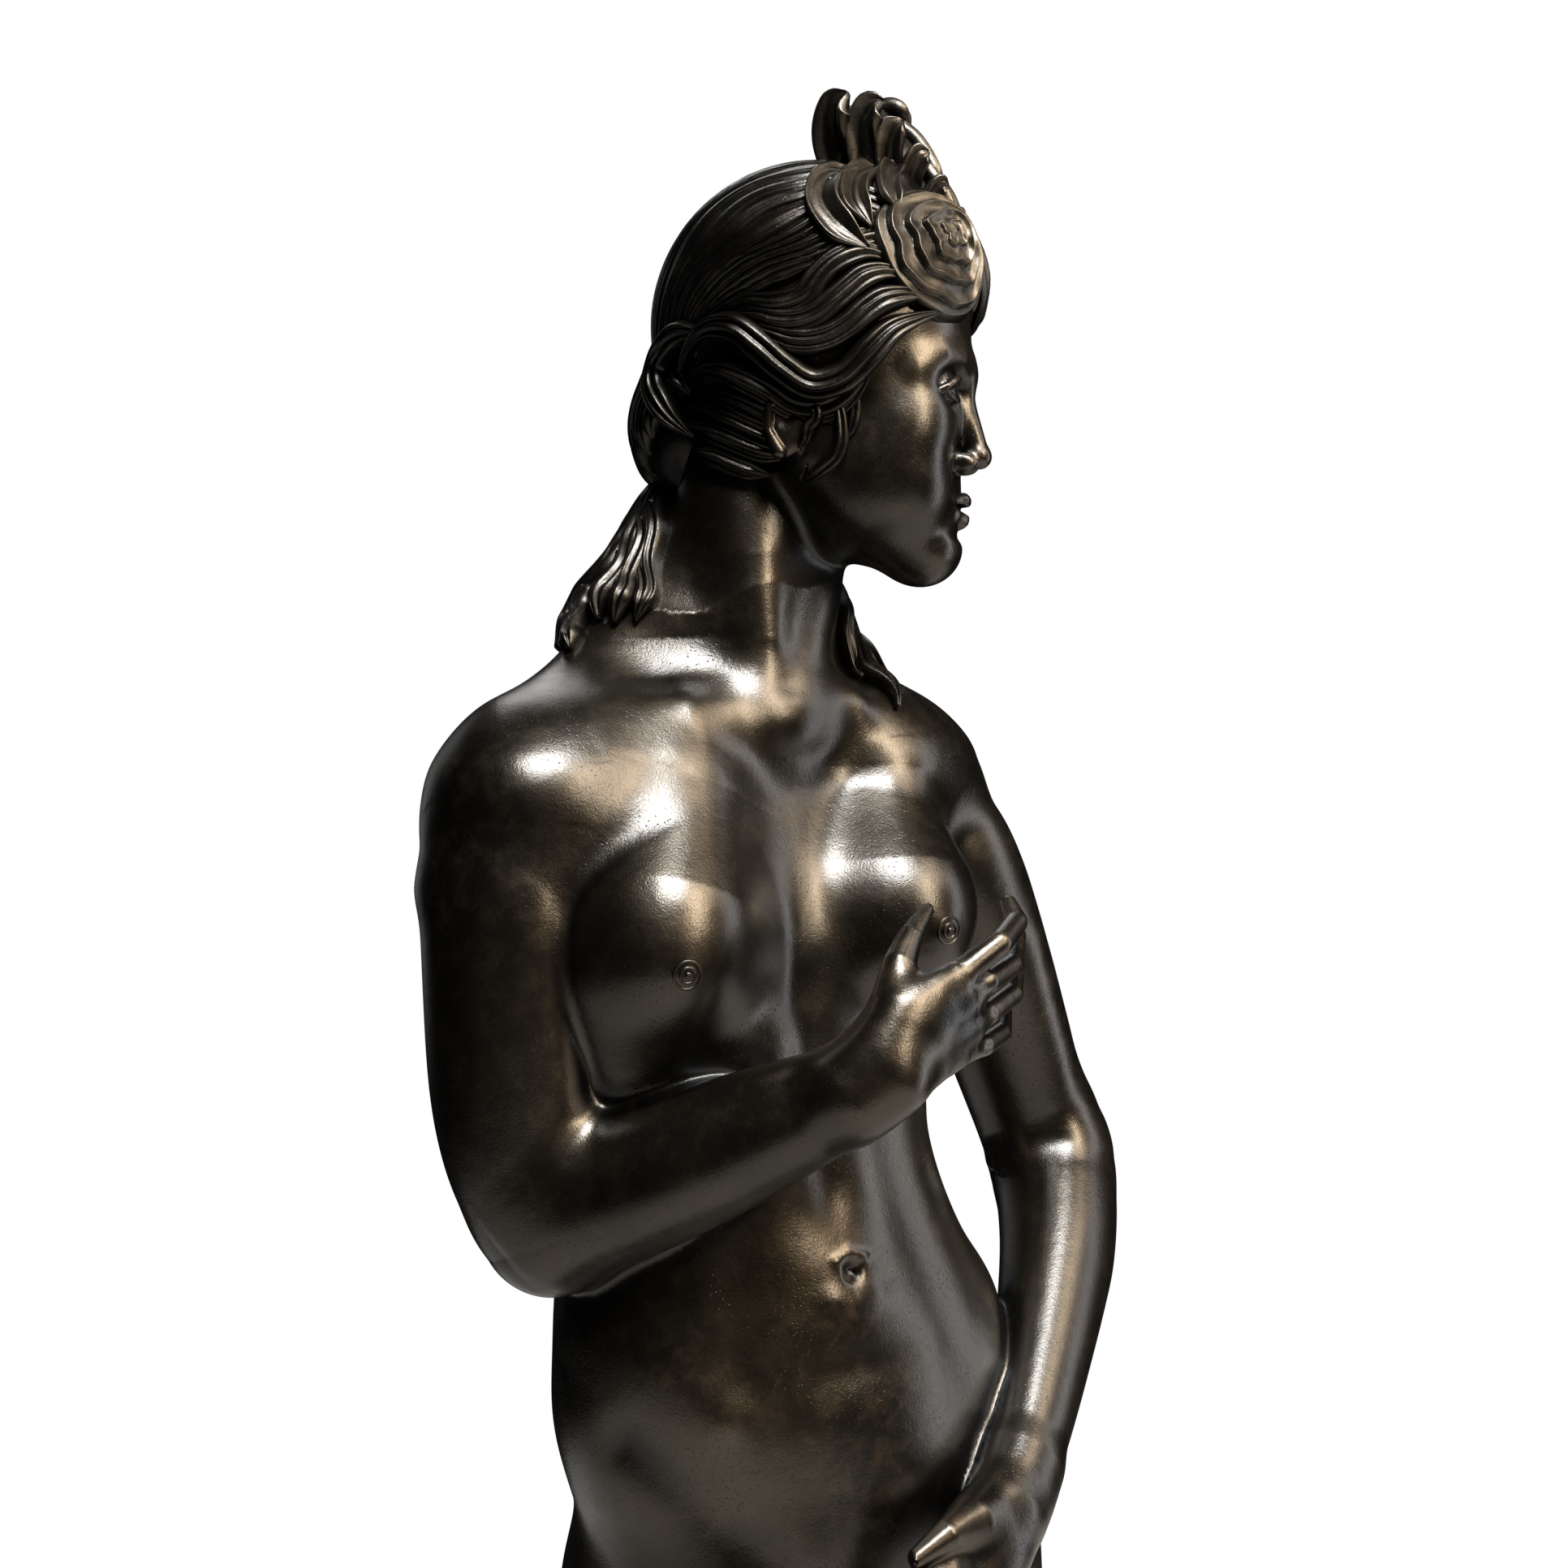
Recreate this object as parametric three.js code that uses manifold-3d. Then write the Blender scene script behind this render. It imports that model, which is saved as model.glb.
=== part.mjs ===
// A hollow-cast bronze statuette of a standing classical Venus on a moulded plinth, as its
// separate castings, joint sleeves, pins and fixings. Millimetres, +Z up, front towards -Y,
// origin at the centre of the plinth's underside.
import * as THREE from 'three';
import { LoftGeometry } from 'three/addons/geometries/LoftGeometry.js';
import { mergeVertices } from 'three/addons/utils/BufferGeometryUtils.js';
import Module from 'manifold-3d';

const wasm = await Module();
wasm.setup();

// ---- driving dimensions ------------------------------------------------------------------
const CLEAR = 0.3; // gap left between pieces that meet
const WALL = 4; // casting wall
const MERGE_WITHIN = 0.15; // facets flatter than this are merged
const PAD_T = 1.5;
const PLINTH_T = 34;
const PLINTH = { halfX: 94, halfY: 77, corner: 9, wall: 5, deck: 6 };
const GROUND = PAD_T + CLEAR + PLINTH_T + CLEAR; // height of the figure's soles
const FIGURE_AT = new THREE.Vector3( -3, 9, GROUND );

const NECK_R = 15.5;
const PIN_R = 1.4;
const STUD_R = 3;
const SLEEVE = {
	neck: { r: 10.5, wall: 2.5, half: 9 },
	arm: { r: 9.2, wall: 2, half: 9 },
	thigh: { r: 17, wall: 2.5, half: 12 },
};

// the head looks to the figure's left
const FACE = new THREE.Vector3( 0.731, -0.683, 0 );
const HEAD = new THREE.Vector3( 7, -9, 503 );

const NECK_JOINT = new THREE.Vector3( -1, 1, 457 );
const NECK_SLOPE = 0.35; // fall of the neck joint towards the chin
const RIGHT_ARM_JOINT = new THREE.Vector3( -58, -3, 398 );
const LEFT_ARM_JOINT = new THREE.Vector3( 52, 5, 396 );
const THIGH_JOINT_Z = 232;

const V = ( x, y, z ) => new THREE.Vector3( x, y, z );
const UP = V( 0, 0, 1 );

// ---- solids ------------------------------------------------------------------------------
function solid( geometry ) {

	const bare = new THREE.BufferGeometry();
	bare.setAttribute( 'position', geometry.getAttribute( 'position' ) );
	bare.setIndex( geometry.index );
	const merged = mergeVertices( bare, 1e-4 );
	return new wasm.Manifold( new wasm.Mesh( {
		numProp: 3,
		vertProperties: merged.attributes.position.array,
		triVerts: new Uint32Array( merged.index.array ),
	} ) );

}

function geometryOf( manifold ) {

	const mesh = manifold.getMesh();
	const geometry = new THREE.BufferGeometry();
	geometry.setAttribute( 'position', new THREE.BufferAttribute( mesh.vertProperties, 3 ) );
	geometry.setIndex( new THREE.BufferAttribute( mesh.triVerts, 1 ) );
	geometry.computeVertexNormals();
	return geometry;

}

const join = ( ...parts ) => parts.reduce( ( a, b ) => a.add( b ) );
const cut = ( a, ...tools ) => tools.reduce( ( s, t ) => s.subtract( t ), a );

// Ellipsoid with its own axes turned by a yaw about Z.
function ellipsoid( centre, radii, yaw = 0, sides = 14 ) {

	const g = new THREE.SphereGeometry( 1, sides, Math.round( sides * 0.6 ) );
	g.rotateX( Math.PI / 2 ).scale( radii.x, radii.y, radii.z ).rotateZ( yaw );
	return solid( g.translate( centre.x, centre.y, centre.z ) );

}

// Cylinder or cone between two points.
function rod( a, b, ra, rb = ra, sides = 16 ) {

	const axis = b.clone().sub( a );
	const g = new THREE.CylinderGeometry( rb, ra, axis.length(), sides );
	g.applyQuaternion( new THREE.Quaternion().setFromUnitVectors( V( 0, 1, 0 ), axis.clone().normalize() ) );
	const mid = a.clone().add( b ).multiplyScalar( 0.5 );
	return solid( g.translate( mid.x, mid.y, mid.z ) );

}

function capsule( a, b, r, sides = 6 ) {

	const axis = b.clone().sub( a );
	const g = new THREE.CapsuleGeometry( r, axis.length(), 2, sides );
	g.applyQuaternion( new THREE.Quaternion().setFromUnitVectors( V( 0, 1, 0 ), axis.clone().normalize() ) );
	const mid = a.clone().add( b ).multiplyScalar( 0.5 );
	return solid( g.translate( mid.x, mid.y, mid.z ) );

}

// The half space on the side of a plane that its normal points to, as a large block.
function halfSpace( point, normal, shift = 0 ) {

	const size = 900;
	const n = normal.clone().normalize();
	const g = new THREE.BoxGeometry( size, size, size );
	g.applyQuaternion( new THREE.Quaternion().setFromUnitVectors( UP, n ) );
	const c = point.clone().addScaledVector( n, size / 2 + shift );
	return solid( g.translate( c.x, c.y, c.z ) );

}

// Evenly spaced values on a smooth curve through the rows of a table.
function smoothRows( rows, count ) {

	const width = rows[ 0 ].length;
	const out = [];
	const curves = [];
	for ( let k = 0; k < width; k += 3 ) {

		const points = rows.map( ( r ) => V( r[ k ], r[ k + 1 ] ?? 0, r[ k + 2 ] ?? 0 ) );
		curves.push( new THREE.CatmullRomCurve3( points, false, 'catmullrom', 0.5 ) );

	}

	for ( let i = 0; i < count; i ++ ) {

		const row = curves.flatMap( ( c ) => c.getPoint( i / ( count - 1 ) ).toArray() );
		out.push( row.slice( 0, width ) );

	}

	return out;

}

// Trunk loft from level sections: height, centre x and y, half width, depth in front, depth
// behind. Each section is turned by the yaw that its height gives.
function trunk( rows, count, sides, inset, yawOf ) {

	const sections = smoothRows( rows, count ).map( ( [ z, cx, cy, wide, front, back ] ) => {

		const yaw = yawOf( z );
		const ring = [];
		for ( let j = 0; j < sides; j ++ ) {

			const t = j / sides * Math.PI * 2;
			const x = Math.cos( t ) * ( wide - inset );
			const y = Math.sin( t ) * ( ( Math.sin( t ) > 0 ? back : front ) - inset );
			ring.push( V( cx + x * Math.cos( yaw ) - y * Math.sin( yaw ),
				cy + x * Math.sin( yaw ) + y * Math.cos( yaw ), z ) );

		}

		return ring;

	} );
	return solid( new LoftGeometry( sections, { capStart: true, capEnd: true } ) );

}

// Limb loft: each row is a centre point, then half widths along the side vector and across it.
function limb( rows, side, { count = 12, sides = 16, inset = 0 } = {} ) {

	const stations = smoothRows( rows.map( ( [ x, y, z, a, b ] ) => [ x, y, z, a, b, 0 ] ), count );
	const centres = stations.map( ( s ) => V( s[ 0 ], s[ 1 ], s[ 2 ] ) );
	const sections = stations.map( ( s, i ) => {

		const ahead = centres[ Math.min( i + 1, count - 1 ) ];
		const along = ahead.clone().sub( centres[ Math.max( i - 1, 0 ) ] ).normalize();
		const v = along.clone().cross( side ).normalize();
		const u = v.clone().cross( along ).normalize();
		const ring = [];
		for ( let j = 0; j < sides; j ++ ) {

			const t = j / sides * Math.PI * 2;
			ring.push( centres[ i ].clone()
				.addScaledVector( u, Math.cos( t ) * ( s[ 3 ] - inset ) )
				.addScaledVector( v, Math.sin( t ) * ( s[ 4 ] - inset ) ) );

		}

		return ring;

	} );
	return solid( new LoftGeometry( sections, { capStart: true, capEnd: true } ) );

}

function tube( a, b, r, wall ) {

	const along = b.clone().sub( a ).normalize();
	const inner = rod( a.clone().sub( along ), b.clone().add( along ), r - wall, r - wall, 14 );
	return cut( rod( a, b, r, r, 14 ), inner );

}

// ---- the figure's forms, sole at z = 0 ---------------------------------------------------
const TRUNK_ROWS = [
	[ 248, 5, 3, 34, 20, 29 ], [ 266, 6, 3, 42, 28.5, 36 ], [ 285, 4, 2, 46, 30.5, 36 ],
	[ 305, - 0.5, 1, 48, 31, 32 ], [ 322, - 3, 0, 46, 29, 27.5 ], [ 336, - 6, 0, 42, 27, 25.5 ],
	[ 351, - 8.5, 0, 39.5, 26, 25.5 ], [ 370, - 12, 0, 40.5, 27, 28.5 ], [ 390, - 14.5, 0, 43, 27.5, 31.5 ],
	[ 405, - 14, 1, 45, 26.5, 33.5 ], [ 418, - 13, 3, 47, 23, 31 ], [ 429, - 11, 4, 42, 19, 26 ],
	[ 438, - 9, 5, 32, 16, 21 ], [ 446, - 6, 5, 20, 13, 16 ],
];
const chestYaw = ( z ) => THREE.MathUtils.degToRad( 5 ) * THREE.MathUtils.smoothstep( z, 300, 400 );

// rows of a limb: centre, half width along the side direction, half width across it
const ARM_R_UPPER = [
	[ - 53, - 2, 428, 10, 11 ], [ - 56, - 3, 420, 14, 15 ], [ - 57.5, - 4, 406, 15.6, 16.6 ],
	[ - 57.5, - 2.5, 387, 15.2, 16.2 ], [ - 56.5, - 1.5, 368, 14.8, 15.4 ], [ - 54, - 2, 352, 14, 14.4 ],
	[ - 52, - 4, 339, 9, 10 ],
];
const ARM_R_FORE = [
	[ - 55, 3, 344, 9, 9 ], [ - 51, - 5, 349, 13.2, 12.6 ], [ - 41, - 19, 354.5, 13.4, 12.2 ],
	[ - 28, - 35, 362, 11.2, 10.2 ], [ - 17, - 48.5, 369, 8.8, 7.8 ], [ - 9, - 54, 374, 8.6, 6.4 ],
];
const ARM_L_UPPER = [
	[ 34, 4, 428, 10, 11 ], [ 38, 4, 419, 14, 14.5 ], [ 43.5, 4, 405, 15, 16 ], [ 54, 6, 385, 13.8, 14.8 ],
	[ 63.5, 8, 362, 12.4, 13.2 ], [ 70, 8, 345, 12.4, 12.8 ], [ 72, 7, 334, 9, 9 ],
];
const ARM_L_FORE = [
	[ 72, 11, 350, 9, 9 ], [ 70, 5, 340, 12.2, 12.2 ], [ 61, - 6, 325, 12.4, 11.6 ],
	[ 45, - 19, 307, 10.2, 9.4 ], [ 30, - 30, 292, 8.2, 7.4 ], [ 20, - 36, 284, 8, 6 ],
];
const LEG_L = [
	[ 25, 3, 272, 22, 27 ], [ 26, 3, 252, 24, 29 ], [ 26, 1, 225, 22.6, 26.5 ], [ 24, - 2, 190, 19.4, 22.5 ],
	[ 21.5, - 3, 162, 16.4, 18 ], [ 20, - 3, 146, 15.6, 17 ], [ 19, 0, 128, 14, 15.4 ], [ 18, 5, 104, 14.6, 17 ],
	[ 16.5, 8, 78, 12.2, 13.8 ], [ 15, 9, 46, 9, 10.2 ], [ 15, 10, 18, 9.2, 11.5 ], [ 15, 9, 2, 9.4, 12.5 ],
];
const LEG_R = [
	[ - 13.5, 2, 272, 21.5, 26 ], [ - 16.5, 1, 252, 23, 28 ], [ - 18.5, - 4, 222, 22, 26 ],
	[ - 17.5, - 12, 188, 19.4, 22.5 ], [ - 15.5, - 20, 160, 16.4, 18 ], [ - 15, - 23, 144, 15.6, 17 ],
	[ - 17.5, - 16, 126, 14, 15.4 ], [ - 21, - 4, 102, 14.6, 17 ], [ - 25, 6, 76, 12.2, 13.8 ],
	[ - 28.5, 15, 48, 9, 10.2 ], [ - 30, 20, 28, 8.2, 9.2 ],
];
// rows of a foot from heel to toe: centre, half width, half height
const FOOT_L = [
	[ 14.5, 22, 9, 7, 8 ], [ 15, 14, 11, 9.6, 10.6 ], [ 16, - 2, 12, 10, 11 ], [ 18.5, - 20, 8, 13, 7.4 ],
	[ 21, - 38, 5, 14, 4.6 ], [ 23, - 52, 4, 10, 3.6 ],
];
const FOOT_R = [
	[ - 27.5, 32, 30, 7, 7.6 ], [ - 28, 24, 28, 9.2, 10 ], [ - 30, 12, 22, 9.6, 10 ], [ - 33.5, - 5, 12, 12, 8 ],
	[ - 37, - 22, 5, 13.6, 4.8 ], [ - 38.5, - 36, 4, 10, 3.6 ],
];
const SIDE_X = V( 1, 0, 0 );

const BREASTS = [ V( - 38, - 20, 392 ), V( 14.5, - 19, 394.5 ) ];
const BREAST_R = V( 14.6, 15.8, 14 );
const BUTTOCKS = [ V( - 19, 18, 267 ), V( 23, 18, 270 ) ];
const BUTTOCK_R = V( 23, 21, 25 );
const NECK_ROWS = [ [ - 6, 5, 434, 24, 17 ], [ - 4, 4, 444, 17.5, 16 ], [ - 1, 1, 462, NECK_R, NECK_R ],
	[ 1, - 1, 480, NECK_R, NECK_R ] ];

function trunkSolid() {

	const above = ( rows, count, sides, at ) =>
		limb( rows, SIDE_X, { count, sides } ).intersect( halfSpace( at, UP, CLEAR / 2 ) );
	const thighs = [ LEG_L, LEG_R ].map( ( rows ) => above( rows, 14, 16, V( 0, 0, THIGH_JOINT_Z ) ) );
	const shoulders = [ [ ARM_R_UPPER, RIGHT_ARM_JOINT ], [ ARM_L_UPPER, LEFT_ARM_JOINT ] ].map(
		( [ rows, at ] ) => above( rows, 9, 14, at ) );
	return join( trunk( TRUNK_ROWS, 17, 24, 0, chestYaw ), limb( NECK_ROWS, SIDE_X, { count: 5, sides: 16 } ),
		...thighs, ...shoulders, ...BREASTS.map( ( at ) => ellipsoid( at, BREAST_R ) ),
		...BUTTOCKS.map( ( at ) => ellipsoid( at, BUTTOCK_R ) ) );

}

const TRUNK_FAT = trunk( TRUNK_ROWS, 17, 24, - CLEAR, chestYaw );

const neckNormal = V( NECK_SLOPE * FACE.x, NECK_SLOPE * FACE.y, 1 ).normalize();
const aboveNeck = ( shift ) => halfSpace( NECK_JOINT, neckNormal, shift );
const belowNeck = ( shift ) => halfSpace( NECK_JOINT, neckNormal.clone().negate(), shift );

// A joint's sleeve axis: middle point and unit vector.
const joint = ( at, along, size, pinTo ) => ( { at, along: along.normalize(), size, pinTo } );
const JOINTS = {
	neck: joint( NECK_JOINT, V( 0.08, - 0.08, 1 ), SLEEVE.neck, FACE.clone().negate() ),
	right_arm: joint( RIGHT_ARM_JOINT, V( 0.06, 0.05, - 1 ), SLEEVE.arm, V( - 0.3, 1, 0 ) ),
	left_arm: joint( LEFT_ARM_JOINT, V( 0.35, 0.08, - 1 ), SLEEVE.arm, V( 0.3, 1, 0 ) ),
	right_thigh: joint( V( - 18.3, - 2, THIGH_JOINT_Z ), V( 0, 0.05, 1 ), SLEEVE.thigh, V( - 1, 0.2, 0 ) ),
	left_thigh: joint( V( 26, 1.5, THIGH_JOINT_Z ), UP.clone(), SLEEVE.thigh, V( 1, 0.2, 0 ) ),
};
const PIN_LENGTH = 5; // through the sleeve and into the casting's wall
const PIN_OVERLAP = 0.5; // a pin's inner end stands this far inside the sleeve's bore

function sleeveEnds( { at, along, size }, grow = 0 ) {

	const reach = size.half + grow;
	return [ at.clone().addScaledVector( along, - reach ), at.clone().addScaledVector( along, reach ) ];

}

const sleeveSolid = ( joint ) => tube( ...sleeveEnds( joint ), joint.size.r, joint.size.wall );

function socket( joint ) {

	const r = joint.size.r + CLEAR;
	return rod( ...sleeveEnds( joint, CLEAR ), r, r, 14 );

}

// The two cross pins of a joint, one each side of its plane.
function pinAxes( { at, along, size, pinTo } ) {

	const out = pinTo.clone().addScaledVector( along, - pinTo.dot( along ) ).normalize();
	return [ - 1, 1 ].map( ( end ) => {

		const foot = at.clone().addScaledVector( along, end * size.half / 2 );
		const start = size.r - size.wall - PIN_OVERLAP;
		return [ start, start + PIN_LENGTH ].map( ( reach ) => foot.clone().addScaledVector( out, reach ) );

	} );

}

const pinSolid = ( [ a, b ] ) => rod( a, b, PIN_R, PIN_R, 8 );

function pinHole( [ a, b ] ) {

	const out = b.clone().sub( a ).normalize();
	return rod( a.clone().sub( out ), b.clone().addScaledVector( out, CLEAR ), PIN_R + CLEAR, PIN_R + CLEAR, 8 );

}

const pinHoles = Object.values( JOINTS ).flatMap( pinAxes ).map( pinHole );

// hollows of the torso's casting under its joints: two ends and two radii
const TORSO_HOLLOWS = [
	[ NECK_JOINT.clone().addScaledVector( UP, 6 ), V( - 5, 4, 430 ), 7.5, 7.5 ],
	[ RIGHT_ARM_JOINT.clone().addScaledVector( UP, - 2 ), V( - 57, - 4, 414 ), 7, 7 ],
	[ V( - 57, - 4, 411 ), V( - 38, 0, 410 ), 6, 6 ],
	[ LEFT_ARM_JOINT.clone().addScaledVector( UP, - 2 ), V( 43, 4, 413 ), 7, 7 ],
	[ V( 44, 4, 411 ), V( 14, 3, 410 ), 6, 6 ],
	...[ JOINTS.right_thigh, JOINTS.left_thigh ].map( ( { at } ) =>
		[ at.clone().addScaledVector( UP, - 2 ), at.clone().addScaledVector( UP, 48 ), 14, 10 ] ),
];

function torsoCasting() {

	const cavity = trunk( TRUNK_ROWS.slice( 1, 13 ), 8, 12, WALL + 2, chestYaw );
	const hollows = TORSO_HOLLOWS.map( ( [ a, b, ra, rb ] ) => rod( a, b, ra, rb, 10 ) );
	return cut( trunkSolid().intersect( belowNeck( CLEAR / 2 ) ), cavity, ...hollows,
		...Object.values( JOINTS ).map( socket ), ...pinHoles );

}

// ---- head and bow, placed forward, left and up from the head's centre ---------------------
const FACE_YAW = Math.atan2( FACE.y, FACE.x );
const headPoint = ( forward, left, up ) => HEAD.clone().addScaledVector( FACE, forward )
	.addScaledVector( V( - FACE.y, FACE.x, 0 ), left ).addScaledVector( UP, up );
const headForm = ( at, radii, sides ) => ellipsoid( headPoint( ...at ), radii, FACE_YAW, sides );
const SKULL_AT = [ 3.5, 0, 5 ];
const SKULL_R = V( 30, 26, 30.2 );

function headCasting() {

	const skull = headForm( SKULL_AT, SKULL_R, 20 );
	const face = headForm( [ 15.5, 0, - 15 ], V( 16.6, 17.6, 24.4 ), 16 );
	const chin = headForm( [ 26, 0, - 35 ], V( 6.6, 7, 5.6 ), 12 );
	const nose = rod( headPoint( 29, 0, - 2 ), headPoint( 32.5, 0, - 16 ), 2.6, 3.2, 8 );
	const bun = headForm( [ - 21.5, 0, - 12.5 ], V( 11, 15, 13 ), 16 );
	const neck = rod( V( - 2, 2, 446 ), V( 4, - 4, 490 ), NECK_R, NECK_R, 20 );
	const body = join( skull, face, chin, nose, bun, neck ).intersect( aboveNeck( CLEAR / 2 ) );
	const throat = rod( V( - 1, 1, 455 ), V( 2, - 2, 500 ), 7.5, 7.5, 10 );
	const hollow = join( headForm( SKULL_AT, V( 22.5, 18.5, 22 ), 16 ), throat );
	return cut( body, hollow, socket( JOINTS.neck ), ...pinHoles, bowPinHole( bowPin[ 1 ] ) );

}

// the bow of hair: a tall tuft and two side lobes over the brow, held by one pin
const BOW_PIN_R = 2;
const bowPin = [ headPoint( 14, 0, 23 ), headPoint( 14, 0, 40 ) ];
const bowPinHole = ( top ) =>
	rod( bowPin[ 0 ].clone().addScaledVector( UP, - CLEAR ), top, BOW_PIN_R + CLEAR, BOW_PIN_R + CLEAR, 12 );

function bowCasting() {

	const tuft = headForm( [ 15.5, 0, 37 ], V( 9, 8.5, 12.6 ), 16 );
	const lobes = [ - 1, 1 ].map( ( side ) => headForm( [ 26.5, side * 9.5, 17 ], V( 9, 8, 15 ), 16 ) );
	const middle = headForm( [ 27, 0, 24 ], V( 7, 8, 14 ), 14 );
	const skullFat = headForm( SKULL_AT, SKULL_R.clone().addScalar( CLEAR ), 20 );
	const pinHole = bowPinHole( bowPin[ 1 ].clone().addScaledVector( UP, CLEAR ) );
	return cut( join( tuft, middle, ...lobes ), skullFat, pinHole );

}

// ---- hands: rows of the palm, then thumb and fingers as lines of points ----------------------
const RIGHT_HAND = {
	palm: [ [ - 18, - 50, 368.5, 8.4, 7.4 ], [ - 12.5, - 53, 372.5, 8.8, 6.4 ], [ - 6, - 54.3, 377, 9.8, 5.6 ],
		[ 3.5, - 53.8, 381.2, 8.6, 4.4 ] ],
	side: V( 0.37, 0.29, - 0.88 ),
	fingers: [
		[ V( - 12, - 52.8, 377 ), V( - 10, - 53, 384 ), V( - 7, - 51.6, 390 ), V( 2, - 47.5, 397.6 ) ],
		[ V( - 2, - 56, 385.2 ), V( 10, - 57.8, 392.5 ), V( 17.2, - 52, 397.6 ) ],
		[ V( - 1, - 55.8, 381.3 ), V( 8.4, - 55.9, 385.9 ), V( 16.5, - 52.6, 388 ), V( 21.6, - 48, 392 ) ],
		[ V( 0.5, - 54.6, 377.2 ), V( 9.8, - 53.6, 380.2 ), V( 17.9, - 50.4, 382.6 ), V( 22.6, - 46, 386.8 ) ],
		[ V( 1.8, - 52.4, 373.6 ), V( 10.6, - 51, 374.4 ), V( 20, - 45, 378.6 ) ],
	],
};
const LEFT_HAND = {
	palm: [ [ 30, - 30, 292, 8.2, 7.2 ], [ 24.5, - 34, 287.5, 8.4, 6.2 ], [ 17, - 37.8, 283.2, 9.6, 5.4 ],
		[ 5.5, - 40.4, 275.6, 9, 4.4 ], [ 1.5, - 40.8, 272.8, 8.4, 3.8 ] ],
	side: V( 0.3, - 0.25, - 1 ),
	fingers: [
		[ V( 19, - 37, 287 ), V( 11.5, - 40, 288.6 ), V( 4, - 41.8, 287.4 ), V( - 3, - 41.6, 284.6 ) ],
		[ V( 4, - 41.4, 280.5 ), V( - 7.5, - 42.6, 276.3 ), V( - 16, - 37, 269.4 ) ],
		[ V( 3.6, - 41.8, 276 ), V( - 7.4, - 43.2, 269.6 ), V( - 14, - 37.4, 261 ) ],
		[ V( 5, - 41.4, 271.5 ), V( - 4.2, - 43, 263.6 ), V( - 10, - 37.6, 254 ) ],
		[ V( 7.6, - 40.2, 267.6 ), V( 0.8, - 41.6, 260 ), V( - 3.8, - 37.4, 252 ) ],
	],
};
const FINGER_R = 2.4;

function handSolid( { palm, side, fingers } ) {

	const chain = ( points ) => points.slice( 1 ).map( ( p, i ) => capsule( points[ i ], p, FINGER_R ) );
	return join( limb( palm, side, { count: 6, sides: 12 } ), ...fingers.flatMap( chain ) );

}

const FORE_SIDE = V( 0.3, 0.2, 1 );

function armCasting( upper, fore, at, hand ) {

	const below = limb( upper, SIDE_X, { count: 9, sides: 14 } )
		.intersect( halfSpace( at.at, UP.clone().negate(), CLEAR / 2 ) );
	const whole = join( below, limb( fore, FORE_SIDE, { count: 7, sides: 12 } ), handSolid( hand ) );
	const deep = at.at.clone().addScaledVector( at.along, 30 );
	const bore = rod( at.at.clone().addScaledVector( UP, 2 ), deep, 6.5, 5.5, 8 );
	const breasts = BREASTS.map( ( b ) => ellipsoid( b, BREAST_R.clone().addScalar( CLEAR ) ) );
	return cut( whole, TRUNK_FAT, ...breasts, bore, socket( at ), ...pinHoles );

}

// A leg below its joint; a limb given as the neighbour is kept clear of.
function legCasting( rows, foot, at, neighbour = null ) {

	const shin = limb( rows, SIDE_X, { count: 14, sides: 16 } );
	const whole = join( shin, limb( foot, SIDE_X, { count: 8, sides: 12 } ) );
	const shell = whole.intersect( halfSpace( at.at, UP.clone().negate(), CLEAR / 2 ) )
		.intersect( halfSpace( V( 0, 0, 0 ), UP ) );
	const hollow = limb( rows.slice( 1, 9 ), SIDE_X, { count: 7, sides: 8, inset: WALL + 1 } );
	const leg = cut( shell, hollow, socket( at ), ...pinHoles, ...studHoles );
	return neighbour ? cut( leg, limb( neighbour, SIDE_X, { count: 14, sides: 16, inset: - CLEAR } ) ) : leg;

}

// ---- fixings -----------------------------------------------------------------------------
const STUDS = {
	left_foot: V( 17, - 6, 0 ),
	right_foot: V( - 35, - 16, 0 ),
	urn: V( 69, 15, 0 ),
};
const STUD_UP = 5; // into the casting
const STUD_DOWN = 4; // below the nut
const NUT_H = 5;
const NUT_R = 6;
const WASHER_T = 1.2;
const WASHER_R = 8;
const deckUnder = - CLEAR - PLINTH.deck; // underside of the plinth's deck, from the soles

const upright = ( at, low, high, r, sides = 14 ) =>
	rod( at.clone().setZ( low ), at.clone().setZ( high ), r, r, sides );
const studHoles = Object.values( STUDS ).map( ( at ) =>
	upright( at, deckUnder - 2, STUD_UP + CLEAR, STUD_R + CLEAR ) );
const studSolid = ( at ) => upright( at, deckUnder - WASHER_T - NUT_H - STUD_DOWN, STUD_UP, STUD_R );

function washerSolid( at ) {

	const top = deckUnder - CLEAR;
	return cut( upright( at, top - WASHER_T, top, WASHER_R, 18 ),
		upright( at, top - WASHER_T - 1, top + 1, STUD_R + CLEAR ) );

}

function nutSolid( at ) {

	const top = deckUnder - 2 * CLEAR - WASHER_T;
	const thread = upright( at, top - NUT_H - 1, top + 1, STUD_R + CLEAR );
	return cut( upright( at, top - NUT_H, top, NUT_R, 6 ), thread );

}

// ---- urn and cloth -----------------------------------------------------------------------
const URN_H = 178;
// radius and height down the outside, then back up the inside
const URN_OUTSIDE = [ [ 14, 0 ], [ 14.5, 4 ], [ 9, 8 ], [ 6.5, 14 ], [ 10, 26 ], [ 14.5, 60 ], [ 16, 96 ],
	[ 14.5, 128 ], [ 10, 146 ], [ 9, 160 ], [ 12.5, 174 ], [ 13, URN_H ] ];
const URN_INSIDE = [ [ 10.5, URN_H ], [ 6.5, 160 ], [ 7, 147 ], [ 11.5, 126 ], [ 13, 96 ], [ 11, 60 ],
	[ 5, 30 ], [ 0, 28 ] ];

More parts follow.
